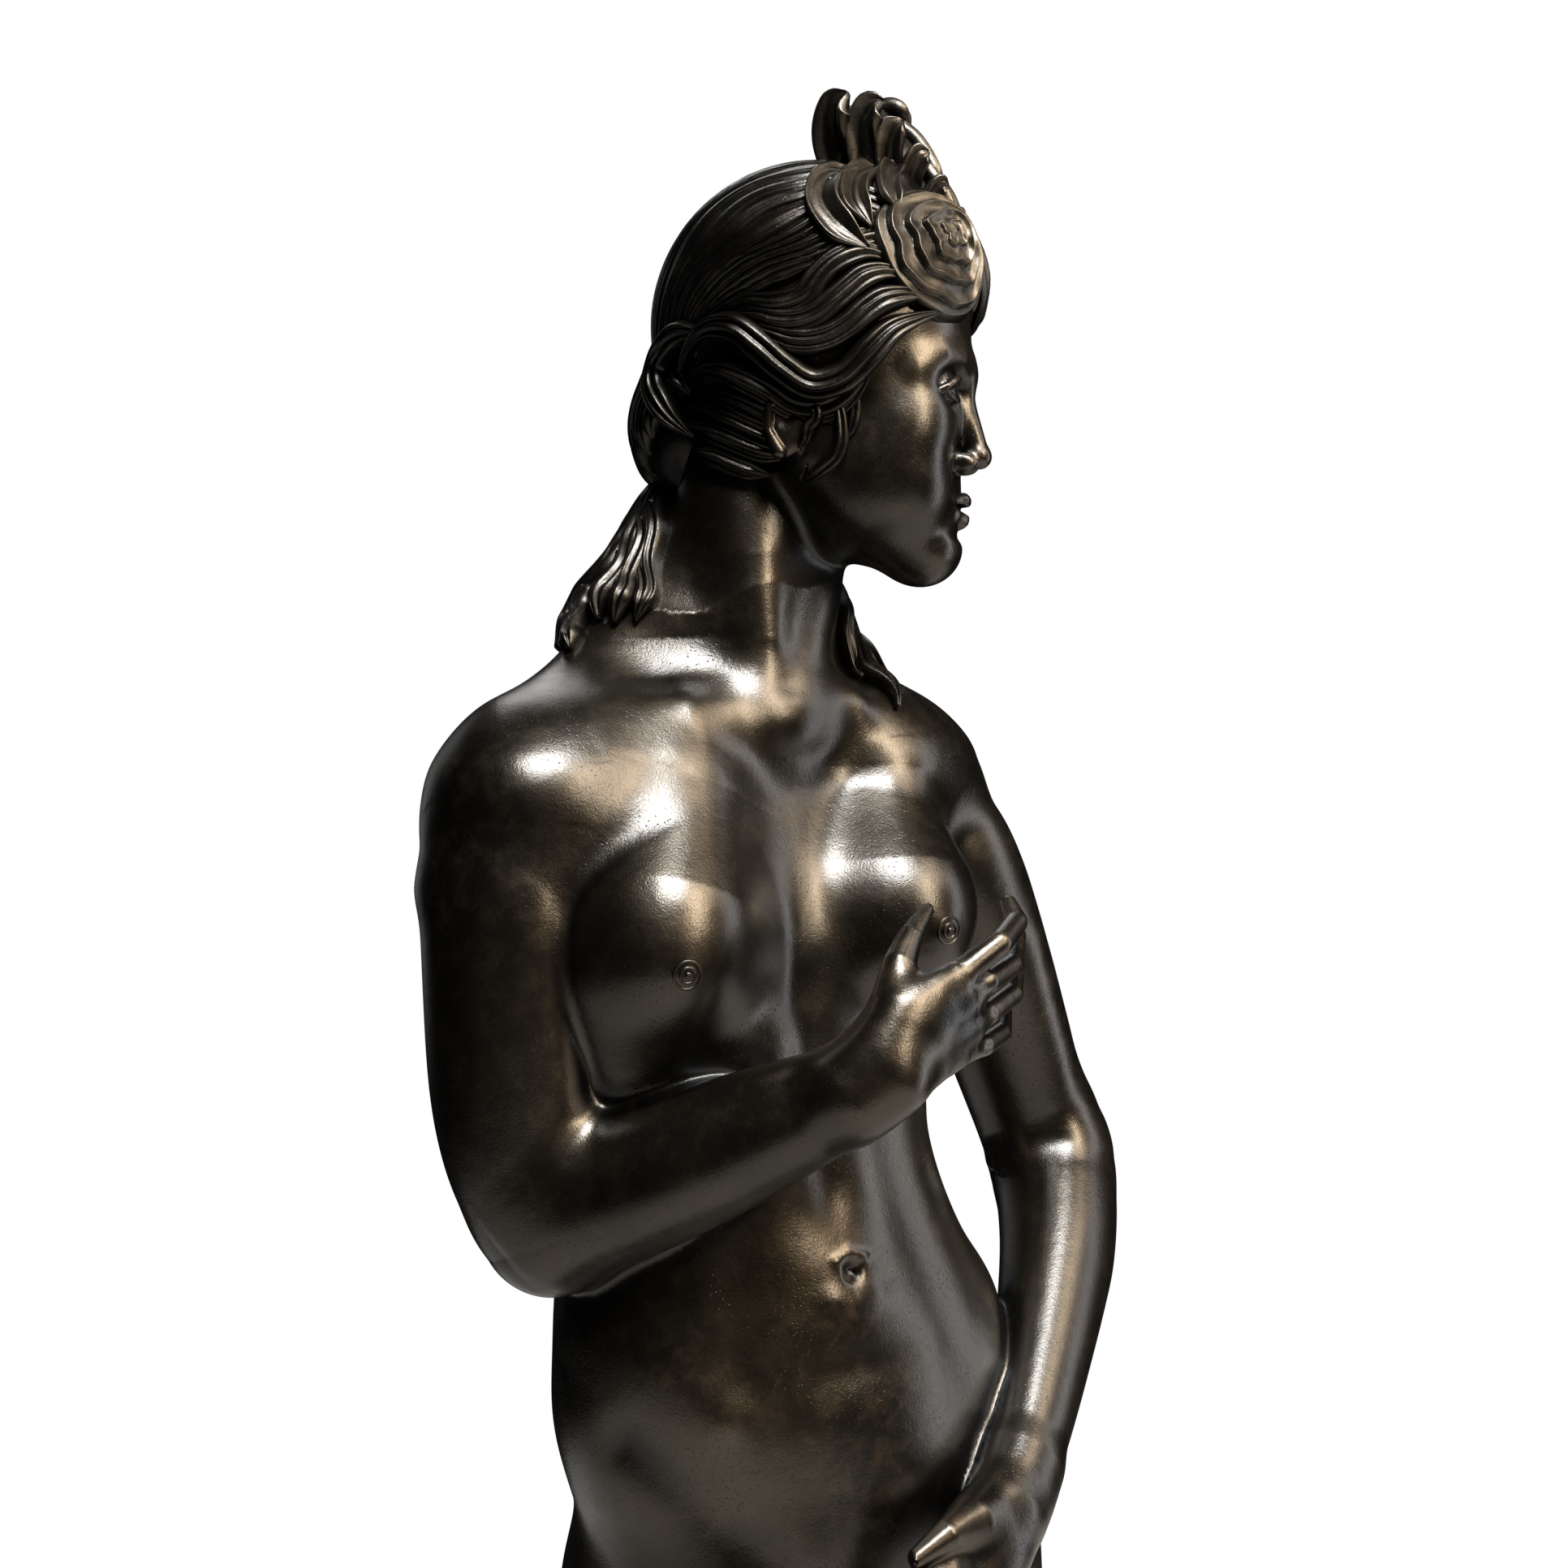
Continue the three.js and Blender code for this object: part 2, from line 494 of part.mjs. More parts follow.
function lathe( profile, at, sides = 18 ) {

	const points = profile.map( ( [ r, z ] ) => new THREE.Vector2( r, z ) );
	const g = new THREE.LatheGeometry( points, sides ).rotateX( Math.PI / 2 );
	return solid( g.translate( at.x, at.y, at.z ) );

}

const urnCasting = () => cut( lathe( [ [ 0, 0 ], ...URN_OUTSIDE, ...URN_INSIDE ], STUDS.urn ), ...studHoles );

const CLOTH_TOP = URN_H + 6;
const CLOTH_FALL = 104;
const CLOTH_CROWN = 0.08; // share of the rows that lies flat on the mouth
const CLOTH_FOLDS = 9;
const FOLD_DEPTH = 2.2;
const CLOTH_INSIDE_R = 16.4;

// Radius of the cloth without its folds, by the share t of its rows from the middle of the top.
const clothRadius = ( t ) => 6 + 13.5 * Math.sqrt( Math.min( 1, t * 7 ) ) + 1.2 * t;

function clothRing( t, sides ) {

	const depth = FOLD_DEPTH * THREE.MathUtils.smoothstep( t, 0.05, 0.9 );
	const z = CLOTH_TOP - CLOTH_FALL * ( t - CLOTH_CROWN ) / ( 1 - CLOTH_CROWN );
	return Array.from( { length: sides }, ( _, j ) => {

		const a = j / sides * Math.PI * 2;
		const r = clothRadius( t ) + depth * Math.cos( CLOTH_FOLDS * a + 2 * t );
		return V( STUDS.urn.x + r * Math.cos( a ), STUDS.urn.y + r * Math.sin( a ), z );

	} );

}

// Cloth thrown over the urn's mouth, falling in flutes that deepen towards the hem.
function clothCasting() {

	const rows = 7;
	const sections = [ clothRing( CLOTH_CROWN, 45 ) ];
	for ( let i = 1; i <= rows; i ++ ) sections.unshift( clothRing( i / rows, 45 ) );
	const outer = solid( new LoftGeometry( sections, { capStart: true, capEnd: true } ) );
	const inner = upright( STUDS.urn, CLOTH_TOP - CLOTH_FALL - 5, URN_H + CLEAR, CLOTH_INSIDE_R, 20 );
	return cut( outer, inner );

}

// ---- plinth and pad ----------------------------------------------------------------------
function roundedRectangle( halfX, halfY, corner, z, steps = 3 ) {

	const ring = [];
	[ [ 1, 1 ], [ - 1, 1 ], [ - 1, - 1 ], [ 1, - 1 ] ].forEach( ( [ sx, sy ], q ) => {

		for ( let i = 0; i <= steps; i ++ ) {

			const a = ( q + i / steps ) * Math.PI / 2;
			const x = sx * ( halfX - corner ) + corner * Math.cos( a );
			const y = sy * ( halfY - corner ) + corner * Math.sin( a );
			ring.push( V( x, y, z ) );

		}

	} );
	return ring;

}

// moulding of the plinth's edge: height share and set-back from the widest line
const MOULDING = [ [ 0, 0 ], [ 0.24, 0 ], [ 0.27, 1.5 ], [ 0.36, 3.4 ], [ 0.46, 6.6 ], [ 0.6, 8.6 ],
	[ 0.66, 8.8 ], [ 0.7, 6.6 ], [ 0.78, 5.4 ], [ 0.86, 5.4 ], [ 0.95, 6.2 ], [ 1, 8 ] ];

const MOULDING_DEEPEST = 9;
const PAD_INSET = 1;
const PAD_WIDTH = 12;

const plinthRing = ( inset, z ) =>
	roundedRectangle( PLINTH.halfX - inset, PLINTH.halfY - inset, PLINTH.corner, z );
const block = ( rings ) => solid( new LoftGeometry( rings, { capStart: true, capEnd: true } ) );

function plinthCasting() {

	const z0 = PAD_T + CLEAR;
	const outside = block( MOULDING.map( ( [ share, back ] ) => plinthRing( back, z0 + share * PLINTH_T ) ) );
	const inset = MOULDING_DEEPEST + PLINTH.wall;
	const hollow = block( [ z0 - 1, z0 + PLINTH_T - PLINTH.deck ].map( ( z ) => plinthRing( inset, z ) ) );
	const bolts = studHoles.map( ( hole ) => hole.translate( FIGURE_AT.toArray() ) );
	return cut( outside, hollow, ...bolts );

}

function padSolid() {

	const whole = block( [ 0, PAD_T ].map( ( z ) => plinthRing( PAD_INSET, z ) ) );
	const opening = block( [ - 1, PAD_T + 1 ].map( ( z ) => plinthRing( PAD_INSET + PAD_WIDTH, z ) ) );
	return cut( whole, opening );

}

// ---- assembly ----------------------------------------------------------------------------
const bronze = () => new THREE.MeshStandardMaterial( { color: 0x2a2420, roughness: 0.32, metalness: 1 } );
const brass = () => new THREE.MeshStandardMaterial( { color: 0x8a7448, roughness: 0.5, metalness: 1 } );
const steel = () => new THREE.MeshStandardMaterial( { color: 0x6b6b6d, roughness: 0.55, metalness: 1 } );
const felt = () => new THREE.MeshStandardMaterial( { color: 0x1f3527, roughness: 1, metalness: 0 } );

function piece( name, made, material ) {

	const mesh = new THREE.Mesh( geometryOf( made.simplify( MERGE_WITHIN ) ), material );
	mesh.name = name;
	return mesh;

}

const statuette = new THREE.Group();
const figure = new THREE.Group();
figure.position.copy( FIGURE_AT );
statuette.add( figure );

figure.add( piece( 'torso', torsoCasting(), bronze() ) );
figure.add( piece( 'head', headCasting(), bronze() ) );
figure.add( piece( 'hair_bow', bowCasting(), bronze() ) );
figure.add( piece( 'hair_bow_pin', rod( ...bowPin, BOW_PIN_R, BOW_PIN_R, 12 ), brass() ) );
const rightArm = armCasting( ARM_R_UPPER, ARM_R_FORE, JOINTS.right_arm, RIGHT_HAND );
const leftArm = armCasting( ARM_L_UPPER, ARM_L_FORE, JOINTS.left_arm, LEFT_HAND );
figure.add( piece( 'right_arm', rightArm, bronze() ) );
figure.add( piece( 'left_arm', leftArm, bronze() ) );
figure.add( piece( 'right_leg', legCasting( LEG_R, FOOT_R, JOINTS.right_thigh, LEG_L ), bronze() ) );
figure.add( piece( 'left_leg', legCasting( LEG_L, FOOT_L, JOINTS.left_thigh ), bronze() ) );
figure.add( piece( 'urn', urnCasting(), bronze() ) );
figure.add( piece( 'urn_cloth', clothCasting(), bronze() ) );

for ( const [ name, joint ] of Object.entries( JOINTS ) ) {

	const axes = pinAxes( joint );
	figure.add( piece( name + '_sleeve', cut( sleeveSolid( joint ), ...axes.map( pinHole ) ), brass() ) );
	axes.forEach( ( axis, i ) => figure.add( piece( name + '_pin_' + ( i + 1 ), pinSolid( axis ), brass() ) ) );

}

for ( const [ name, at ] of Object.entries( STUDS ) ) {

	figure.add( piece( name + '_stud', studSolid( at ), steel() ) );
	figure.add( piece( name + '_washer', washerSolid( at ), steel() ) );
	figure.add( piece( name + '_nut', nutSolid( at ), steel() ) );

}

statuette.add( piece( 'plinth', plinthCasting(), bronze() ) );
statuette.add( piece( 'base_pad', padSolid(), felt() ) );

export default statuette;
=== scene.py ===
"""A bronze statuette of a standing classical Venus, sculpted in code around its CAD frame."""
import math
from concurrent.futures import ThreadPoolExecutor

import bpy
import numpy as np
from mathutils import Matrix, Vector


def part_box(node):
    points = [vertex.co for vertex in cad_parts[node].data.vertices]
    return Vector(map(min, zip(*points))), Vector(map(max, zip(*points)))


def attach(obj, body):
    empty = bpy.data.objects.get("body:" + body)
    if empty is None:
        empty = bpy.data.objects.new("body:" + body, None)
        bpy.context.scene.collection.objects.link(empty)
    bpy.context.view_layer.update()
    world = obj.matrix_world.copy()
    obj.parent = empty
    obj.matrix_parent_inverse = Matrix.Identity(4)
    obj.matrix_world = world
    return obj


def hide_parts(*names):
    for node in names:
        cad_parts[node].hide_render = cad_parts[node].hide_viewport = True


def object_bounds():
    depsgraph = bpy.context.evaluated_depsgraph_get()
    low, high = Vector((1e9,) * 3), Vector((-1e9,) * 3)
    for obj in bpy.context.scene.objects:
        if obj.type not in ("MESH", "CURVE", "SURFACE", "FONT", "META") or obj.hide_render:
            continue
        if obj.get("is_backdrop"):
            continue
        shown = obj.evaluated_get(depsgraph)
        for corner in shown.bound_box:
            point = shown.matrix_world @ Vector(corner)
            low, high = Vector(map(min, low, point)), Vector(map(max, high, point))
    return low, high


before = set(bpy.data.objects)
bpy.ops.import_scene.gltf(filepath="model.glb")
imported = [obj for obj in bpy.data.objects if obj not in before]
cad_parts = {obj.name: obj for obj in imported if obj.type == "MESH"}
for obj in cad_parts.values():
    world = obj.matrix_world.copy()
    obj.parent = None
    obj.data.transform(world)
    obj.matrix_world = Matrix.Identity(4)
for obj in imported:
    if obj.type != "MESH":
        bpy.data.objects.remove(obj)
cad_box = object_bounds()

COARSER = 1.0

# the figure's own frame: millimetres, sole at z = 0, front towards -Y, +X her left
FIGURE_AT = np.array([-3.0, 9.0, 36.1])
MM = 0.001
FAR = 60.0


def metres(points):
    return (np.asarray(points) + FIGURE_AT) * MM


# ---- fields: distance in mm to a form, below 0 inside -----------------------------------
def smooth_table(rows, count, blur):
    """Rows of numbers to a fine table: Catmull-Rom through the rows, then a light blur along it."""
    rows = np.array(rows, float)
    last = len(rows) - 1
    ext = np.vstack([2 * rows[0] - rows[1], rows, 2 * rows[-1] - rows[-2]])
    s = np.linspace(0, last - 1e-9, count)
    i = s.astype(int)
    t = (s - i)[:, None]
    a, b, c, d = ext[i], ext[i + 1], ext[i + 2], ext[i + 3]
    out = 0.5 * (2 * b + (c - a) * t + (2 * a - 5 * b + 4 * c - d) * t**2 + (3 * b - a - 3 * c + d) * t**3)
    width = int(blur * count / 100)
    if width > 1:
        pad = 2 * width
        kernel = np.exp(-((np.arange(-pad, pad + 1) / width) ** 2))
        kernel /= kernel.sum()
        long = np.vstack([2 * out[0] - out[pad:0:-1], out, 2 * out[-1] - out[-2:-pad - 2:-1]])
        out = np.stack([np.convolve(long[:, k], kernel, "valid") for k in range(out.shape[1])], axis=1)
    return out


def smoothstep(x, lo, hi):
    t = np.clip((x - lo) / (hi - lo), 0, 1)
    return t * t * (3 - 2 * t)


def smin(a, b, k):
    """Union of two fields with a fillet about k wide."""
    h = np.maximum(k - np.abs(a - b), 0.0) / k
    return np.minimum(a, b) - h * h * k * 0.25


def culled(lo, hi, f, margin, outside=FAR):
    """f near a box, and one value elsewhere."""
    lo, hi = np.asarray(lo, float) - margin, np.asarray(hi, float) + margin

    def g(P):
        d = np.full(len(P), outside)
        if np.any(P.max(0) < lo) or np.any(P.min(0) > hi):
            return d
        m = np.all((P > lo) & (P < hi), axis=1)
        if m.any():
            d[m] = f(P[m])
        return d

    return g


def ellipsoid(c, r, n=2.0, margin=22.0):
    c, r = np.asarray(c, float), np.asarray(r, float)

    def f(P):
        q = P - c
        k = np.linalg.norm(q / r, axis=1) if n == 2 else np.sum(np.abs(q / r) ** n, axis=1) ** (1 / n)
        return np.linalg.norm(q, axis=1) * (1 - 1 / np.maximum(k, 1e-3))

    return culled(c - r, c + r, f, margin)


def chain(points, radii, margin=12.0):
    """Rounded cones along a line of points."""
    pts = np.atleast_2d(np.asarray(points, float))
    rad = np.broadcast_to(np.asarray(radii, float), (len(pts),))

    def f(P):
        best = np.full(len(P), FAR)
        for a, b, ra, rb in zip(pts[:-1], pts[1:], rad[:-1], rad[1:]):
            ab = b - a
            t = np.clip((P - a) @ ab / (ab @ ab), 0, 1)
            best = np.minimum(best, np.linalg.norm(P - a - t[:, None] * ab, axis=1) - (ra + (rb - ra) * t))
        return best

    return culled(pts.min(0) - rad.max(), pts.max(0) + rad.max(), f, margin)


def limb(rows, side, blur=3.0, n=2.0, margin=22.0):
    """A tapering limb on a smooth line: rows of centre, half width along side, half width across it."""
    count = 200
    t = smooth_table(rows, count, blur)
    C, A, B = t[:, :3], t[:, 3], t[:, 4]
    T = np.gradient(C, axis=0)
    speed = np.linalg.norm(T, axis=1)
    T = T / speed[:, None]
    W = np.cross(T, np.asarray(side, float))
    W /= np.linalg.norm(W, axis=1)[:, None]
    U = np.cross(W, T)
    # two tables, read at a fractional station: the line with its direction per station, and the section
    line, section = np.column_stack([C, T / speed[:, None]]), np.column_stack([U, W, A, B])
    some = np.arange(0, count, 12)
    size = 1 / (A[some] * B[some])

    def read(table, at):
        i = np.minimum(at.astype(int), count - 2)
        w = (at - i)[:, None]
        return table[i] + (table[i + 1] - table[i]) * w

    def f(P):
        d = (np.sum(P * P, 1)[:, None] - 2 * P @ C[some].T + np.sum(C[some] ** 2, 1)) * size
        at = some[np.argmin(d, axis=1)].astype(float)
        for _ in range(3):
            row = read(line, at)
            q = P - row[:, :3]
            at = np.clip(at + np.einsum("ij,ij->i", q, row[:, 3:]), 0, count - 1)
        row, cut = read(line, at), read(section, at)
        q = P - row[:, :3]
        a, b = cut[:, 6], cut[:, 7]
        pace = np.linalg.norm(row[:, 3:], axis=1)
        qu = np.abs(np.einsum("ij,ij->i", q, cut[:, :3])) / a
        qv = np.abs(np.einsum("ij,ij->i", q, cut[:, 3:6])) / b
        qt = np.abs(np.einsum("ij,ij->i", q, row[:, 3:])) / (pace * np.minimum(a, b))
        k = np.sqrt(qu * qu + qv * qv + qt * qt) if n == 2 else (qu**n + qv**n + qt**n) ** (1 / n)
        return np.linalg.norm(q, axis=1) * (1 - 1 / np.maximum(k, 1e-3))

    reach = max(A.max(), B.max())
    return culled(C.min(0) - reach, C.max(0) + reach, f, margin)


def swell(points, radii, height):
    """What a soft swelling about a point or along a line adds to a field (a hollow, below 0)."""
    pts = np.atleast_2d(np.asarray(points, float))
    radii = np.broadcast_to(np.asarray(radii, float), (3,))

    def f(P):
        q, line = P / radii, pts / radii
        if len(line) == 1:
            d2 = np.sum((q - line[0]) ** 2, axis=1)
        else:
            d2 = np.full(len(q), 1e9)
            for a, b in zip(line[:-1], line[1:]):
                ab = b - a
                t = np.clip((q - a) @ ab / (ab @ ab), 0, 1)
                d2 = np.minimum(d2, np.sum((q - a - t[:, None] * ab) ** 2, axis=1))
        return -height * np.exp(-1.6 * d2)

    return culled(pts.min(0), pts.max(0), f, 2.2 * radii, outside=0.0)


def union(fields, k):
    def f(P):
        d = fields[0](P)
        for g in fields[1:]:
            d = smin(d, g(P), k)
        return d

    return f


def relief(base, swells):
    """A field with swellings and hollows laid on it, worked out only close to its surface."""

    def f(P):
        d = base(P)
        m = np.abs(d) < 12
        if m.any():
            Q = P[m]
            d[m] += sum(s(Q) for s in swells)
        return d

    return f


# ---- the body --------------------------------------------------------------------------
# level sections of the trunk: height, centre x and y, half width, depth in front and behind, squareness
TRUNK_ROWS = [
    [240, 4, 3, 32, 16, 26, 2.0], [252, 5, 3, 38, 23, 32, 2.1], [266, 6, 3, 41.5, 28.5, 36, 2.2],
    [285, 4, 2, 45.5, 30.5, 36, 2.2], [305, -0.5, 1, 47.5, 30.5, 31, 2.2], [322, -3, 0, 45.5, 28.5, 27, 2.2],
    [336, -6, 0, 41.5, 26.5, 25, 2.2], [351, -8.5, 0, 39, 25.5, 25, 2.2], [370, -12, 0, 40, 26.5, 28, 2.3],
    [390, -14.5, 0, 42, 27, 31, 2.4], [405, -14, 1, 43.5, 25.5, 33, 2.4], [418, -13, 3, 45, 22, 31, 2.3],
    [429, -11, 4, 40, 18, 26, 2.1], [437, -9, 5, 31, 15, 21, 2.0], [444, -7, 5, 22, 13, 17, 2.0],
    [450, -6, 4, 15, 11, 13, 2.0],
]
TRUNK = smooth_table(TRUNK_ROWS, 300, 2.0)


def trunk(P):
    z = P[:, 2]
    cx, cy, wide, front, back, n = (np.interp(z, TRUNK[:, 0], TRUNK[:, k]) for k in range(1, 7))
    yaw = math.radians(5) * smoothstep(z, 300, 400)
    dx, dy = P[:, 0] - cx, P[:, 1] - cy
    x = np.cos(yaw) * dx + np.sin(yaw) * dy
    y = -np.sin(yaw) * dx + np.cos(yaw) * dy
    depth = np.where(y > 0, back, front)
    k = np.maximum((np.abs(x / wide) ** n + np.abs(y / depth) ** n) ** (1 / n), 1e-3)
    d = np.hypot(x, y) * (1 - 1 / k)
    return np.maximum(d, np.maximum(TRUNK[0, 0] - z, z - TRUNK[-1, 0]))


X_SIDE = (1, 0, 0)
# limbs: centre of a section, half width sideways and front to back
ARM_R_UPPER = [
    [-53.6, -2.4, 415.5, 14.8, 15.6], [-56.2, -3.2, 403, 15.3, 16.4], [-57.1, -2.5, 387, 15.1, 16.1],
    [-56.5, -1.5, 368, 14.8, 15.4], [-54, -2, 354, 14, 14.4], [-51.5, -4, 344, 11, 11],
]
ARM_R_FORE = [
    [-53, 0, 346, 9.5, 9.5], [-50.5, -5.5, 349, 13.2, 12.6], [-41, -19, 354.5, 13.4, 12.2],
    [-28, -35, 362, 11.2, 10.2], [-17, -48.5, 369, 8.8, 7.8], [-12, -53, 373, 8.6, 6.8],
]
ARM_L_UPPER = [
    [34.5, 4, 416, 13.2, 14], [43, 4, 405, 15, 16], [54, 6, 385, 13.6, 14.8],
    [63.5, 8, 362, 12.4, 13.2], [70, 8, 346, 12.4, 12.8], [71, 7, 338, 10.5, 10.5],
]
ARM_L_FORE = [
    [71, 9, 348, 9, 9.5], [70, 5, 340, 12.2, 12.2], [61, -6, 325, 12.4, 11.6], [45, -19, 307, 10.2, 9.4],
    [30, -30, 292, 8.2, 7.4], [23, -34.5, 286.5, 8, 6.2],
]
LEG_L = [
    [25, 3, 272, 22, 27], [26, 3, 252, 24, 29], [26, 1, 225, 22.6, 26.5], [24, -2, 190, 19.4, 22.5],
    [21.5, -3, 162, 16.4, 18], [20, -3, 146, 15.2, 16.6], [19, 0, 128, 13.8, 15.2], [18, 5, 104, 14.4, 16.8],
    [16.5, 8, 78, 12.2, 13.8], [15, 9, 46, 9, 10.2], [15, 10, 30, 8.6, 10], [15, 10, 18, 9.2, 11.5],
    [15, 9, 8, 9.4, 12.5],
]
LEG_R = [
    [-13.5, 2, 272, 21.5, 26], [-16.5, 1, 252, 23, 28], [-18.5, -4, 222, 22, 26],
    [-17.5, -12, 188, 19.4, 22.5], [-15.5, -20, 160, 16.4, 18], [-15, -23, 144, 15.2, 16.6],
    [-17.5, -16, 126, 13.8, 15.2], [-21, -4, 102, 14.4, 16.8], [-25, 6, 76, 12.2, 13.8],
    [-28.5, 15, 48, 9, 10.2], [-30, 19, 34, 8.6, 9.6], [-30, 20, 26, 8, 9],
]
# heel to ball of the foot: centre, half width, half height
FOOT_L = [
    [14.5, 21, 9, 7.5, 8.5], [15, 14, 11, 9.4, 11], [15.5, 2, 14, 9.4, 12], [17, -12, 10, 11.5, 9.5],
    [19.5, -26, 6.4, 13.6, 6.2], [21, -36, 4.6, 14, 4.4],
]
FOOT_R = [
    [-27.5, 31, 30, 7.5, 8], [-28, 24, 28, 9.2, 10], [-30, 13, 23, 9.2, 10.5], [-33, -2, 15, 11, 9],
    [-36, -14, 8, 13.2, 7], [-37.5, -23, 5, 13.6, 4.8],
]
# the right hand before the left breast, and the left hand before the groin: palm and thumb, then
# each finger from knuckle to tip
FINGER, LITTLE_FINGER = [2.6, 2.25, 2.1, 1.55], [2.4, 2.1, 1.9, 1.4]
RIGHT_HAND = [
    limb([[-18, -50, 368.5, 8.4, 7.4], [-12.5, -53, 372.5, 8.8, 6.4], [-6, -54.3, 377, 9.8, 5.6],
          [0, -54.3, 380, 9.8, 4.8], [3.5, -53.8, 381.2, 8.6, 4.2]], (0.37, 0.29, -0.88), margin=12.0),
    chain([(-13.5, -52.4, 374.5), (-10.4, -53.2, 383.5), (-7.2, -51.6, 390), (-2.9, -49.4, 394.4),
           (2.6, -47.2, 398.6)], [4.6, 3.7, 2.9, 2.3, 1.3]),
    chain([(-2, -56, 385.2), (10.1, -57.8, 392.5), (16.3, -54.7, 395.6), (17.8, -50.9, 398.8)], FINGER),
    chain([(-1, -55.8, 381.3), (8.4, -55.9, 385.9), (16.5, -52.6, 388), (22.3, -47.4, 392.6)], FINGER),
    chain([(0.5, -54.6, 377.2), (9.8, -53.6, 380.2), (17.9, -50.4, 382.6), (23.2, -45.4, 387.4)], FINGER),
    chain([(1.8, -52.4, 373.6), (10.6, -51, 374.4), (16.6, -48.5, 375.8), (20.6, -44.6, 379)],
          LITTLE_FINGER),
]
LEFT_HAND = [
    limb([[30, -30, 292, 8.2, 7.2], [24.5, -34, 287.5, 8.4, 6.2], [17, -37.8, 283.2, 9.6, 5.4],
          [9.5, -39.8, 278.4, 10, 4.8], [5.5, -40.4, 275.6, 9, 4.2]], (0.3, -0.25, -1), margin=12.0),
    chain([(20, -36, 287.5), (11.5, -40, 288.6), (4, -41.8, 287.4), (-3.5, -41.6, 284.4)],
          [4.5, 3.6, 2.8, 1.7]),
    chain([(4, -41.4, 280.5), (-7.5, -42.6, 276.3), (-13.6, -39.6, 272), (-16.6, -36.2, 268.4)], FINGER),
    chain([(3.6, -41.8, 276), (-7.4, -43.2, 269.6), (-12.6, -40, 264), (-14.8, -36.4, 259.6)], FINGER),
    chain([(5, -41.4, 271.5), (-4.2, -43, 263.6), (-9, -40, 257), (-10.6, -36.6, 252.4)], FINGER),
    chain([(7.6, -40.2, 267.6), (0.8, -41.6, 260), (-2.8, -39.4, 254.4), (-4.2, -36.6, 250.6)],
          LITTLE_FINGER),
]


def hand(parts):
    palm, thumb, *fingers = parts
    heel = union([palm, thumb], 4.5)
    spread_fingers = union(fingers, 0.8)
    return lambda P: smin(heel(P), spread_fingers(P), 2.6)


def arm(upper_rows, fore_rows, hand_parts, swells):
    upper = limb(upper_rows, X_SIDE)
    fore = limb(fore_rows, (0.3, 0.2, 1))
    fingers = hand(hand_parts)
    return relief(lambda P: smin(smin(upper(P), fore(P), 6.0), fingers(P), 3.5), swells)


# place across the foot, length and radius of each toe, from the big one
TOES = [(9.4, 16, 3.7), (3.2, 15.5, 2.9), (-1.8, 13.5, 2.7), (-6.3, 11, 2.5), (-10.3, 8, 2.4)]


def toes(ball, forward, spread):
    """Five toes in front of the ball of a foot, the big one at +spread."""
    ball, forward, spread = (np.asarray(v, float) for v in (ball, forward, spread))
    out = []
    for across, long, r in TOES:
        base = ball + spread * across * 0.9
        knuckle = base + forward * long * 0.55
        tip = ball + spread * across + forward * long
        base[2], knuckle[2], tip[2] = r + 1.2, r + 1.4, r * 0.95
        out.append(chain([base, knuckle, tip], [r * 1.05, r, r * 0.9], 8.0))
    return union(out, 0.8)


def leg(rows, foot_rows, ball, forward, big_toe, kneecap, outward):
    """A leg from hip to toes; outward is its outer side, +1 or -1 in x."""
    line = smooth_table(rows, 200, 3.0)

    def at(z, x, y):
        i = np.argmin(np.abs(line[:, 2] - z))
        return line[i, 0] + outward * x * line[i, 3], line[i, 1] + y * line[i, 4], z

    swells = [
        # calf, shin bone and the muscles over the knee
        swell([at(118, 0.45, 0.75), at(98, 0.4, 0.8)], (8, 8, 15), 1.5),
        swell([at(114, -0.55, 0.7), at(92, -0.5, 0.75)], (8, 8, 15), 1.9),
        swell([at(120, -0.1, -1), at(60, -0.15, -1)], (3, 4, 8), 0.7),
        swell(at(134, 0, -1), (4.5, 4, 5), 1.3),
        swell([at(170, 0.75, -0.6), at(155, 0.7, -0.65)], (6, 6, 9), -0.8),
        swell([at(170, -0.5, -0.75), at(158, -0.65, -0.7)], (8, 7, 9), 1.3),
        # hollows beside the knee, tendons behind it, and the heel's tendon between its hollows
        *[swell(at(146, side, 0.2), (5, 8, 8), -1.0) for side in (0.95, -0.95)],
        *[swell([at(143, side, 0.95), at(150, side, 0.95)], (3, 5, 14), 0.8) for side in (0.45, -0.45)],
        swell([at(50, 0, 1), at(30, 0, 0.95)], (3, 4, 12), 1.0),
        *[swell([at(46, side, 0.7), at(30, side, 0.7)], (3.5, 4, 9), -1.2) for side in (0.6, -0.6)],
    ]
    shin = limb(rows, X_SIDE)
    foot = limb(foot_rows, X_SIDE, n=2.2)
    toe = toes(ball, forward, big_toe)
    knee = ellipsoid(kneecap, (8, 5.5, 9), margin=14.0)
    return relief(lambda P: smin(smin(smin(shin(P), foot(P), 7.0), knee(P), 9.0), toe(P), 2.2), swells)


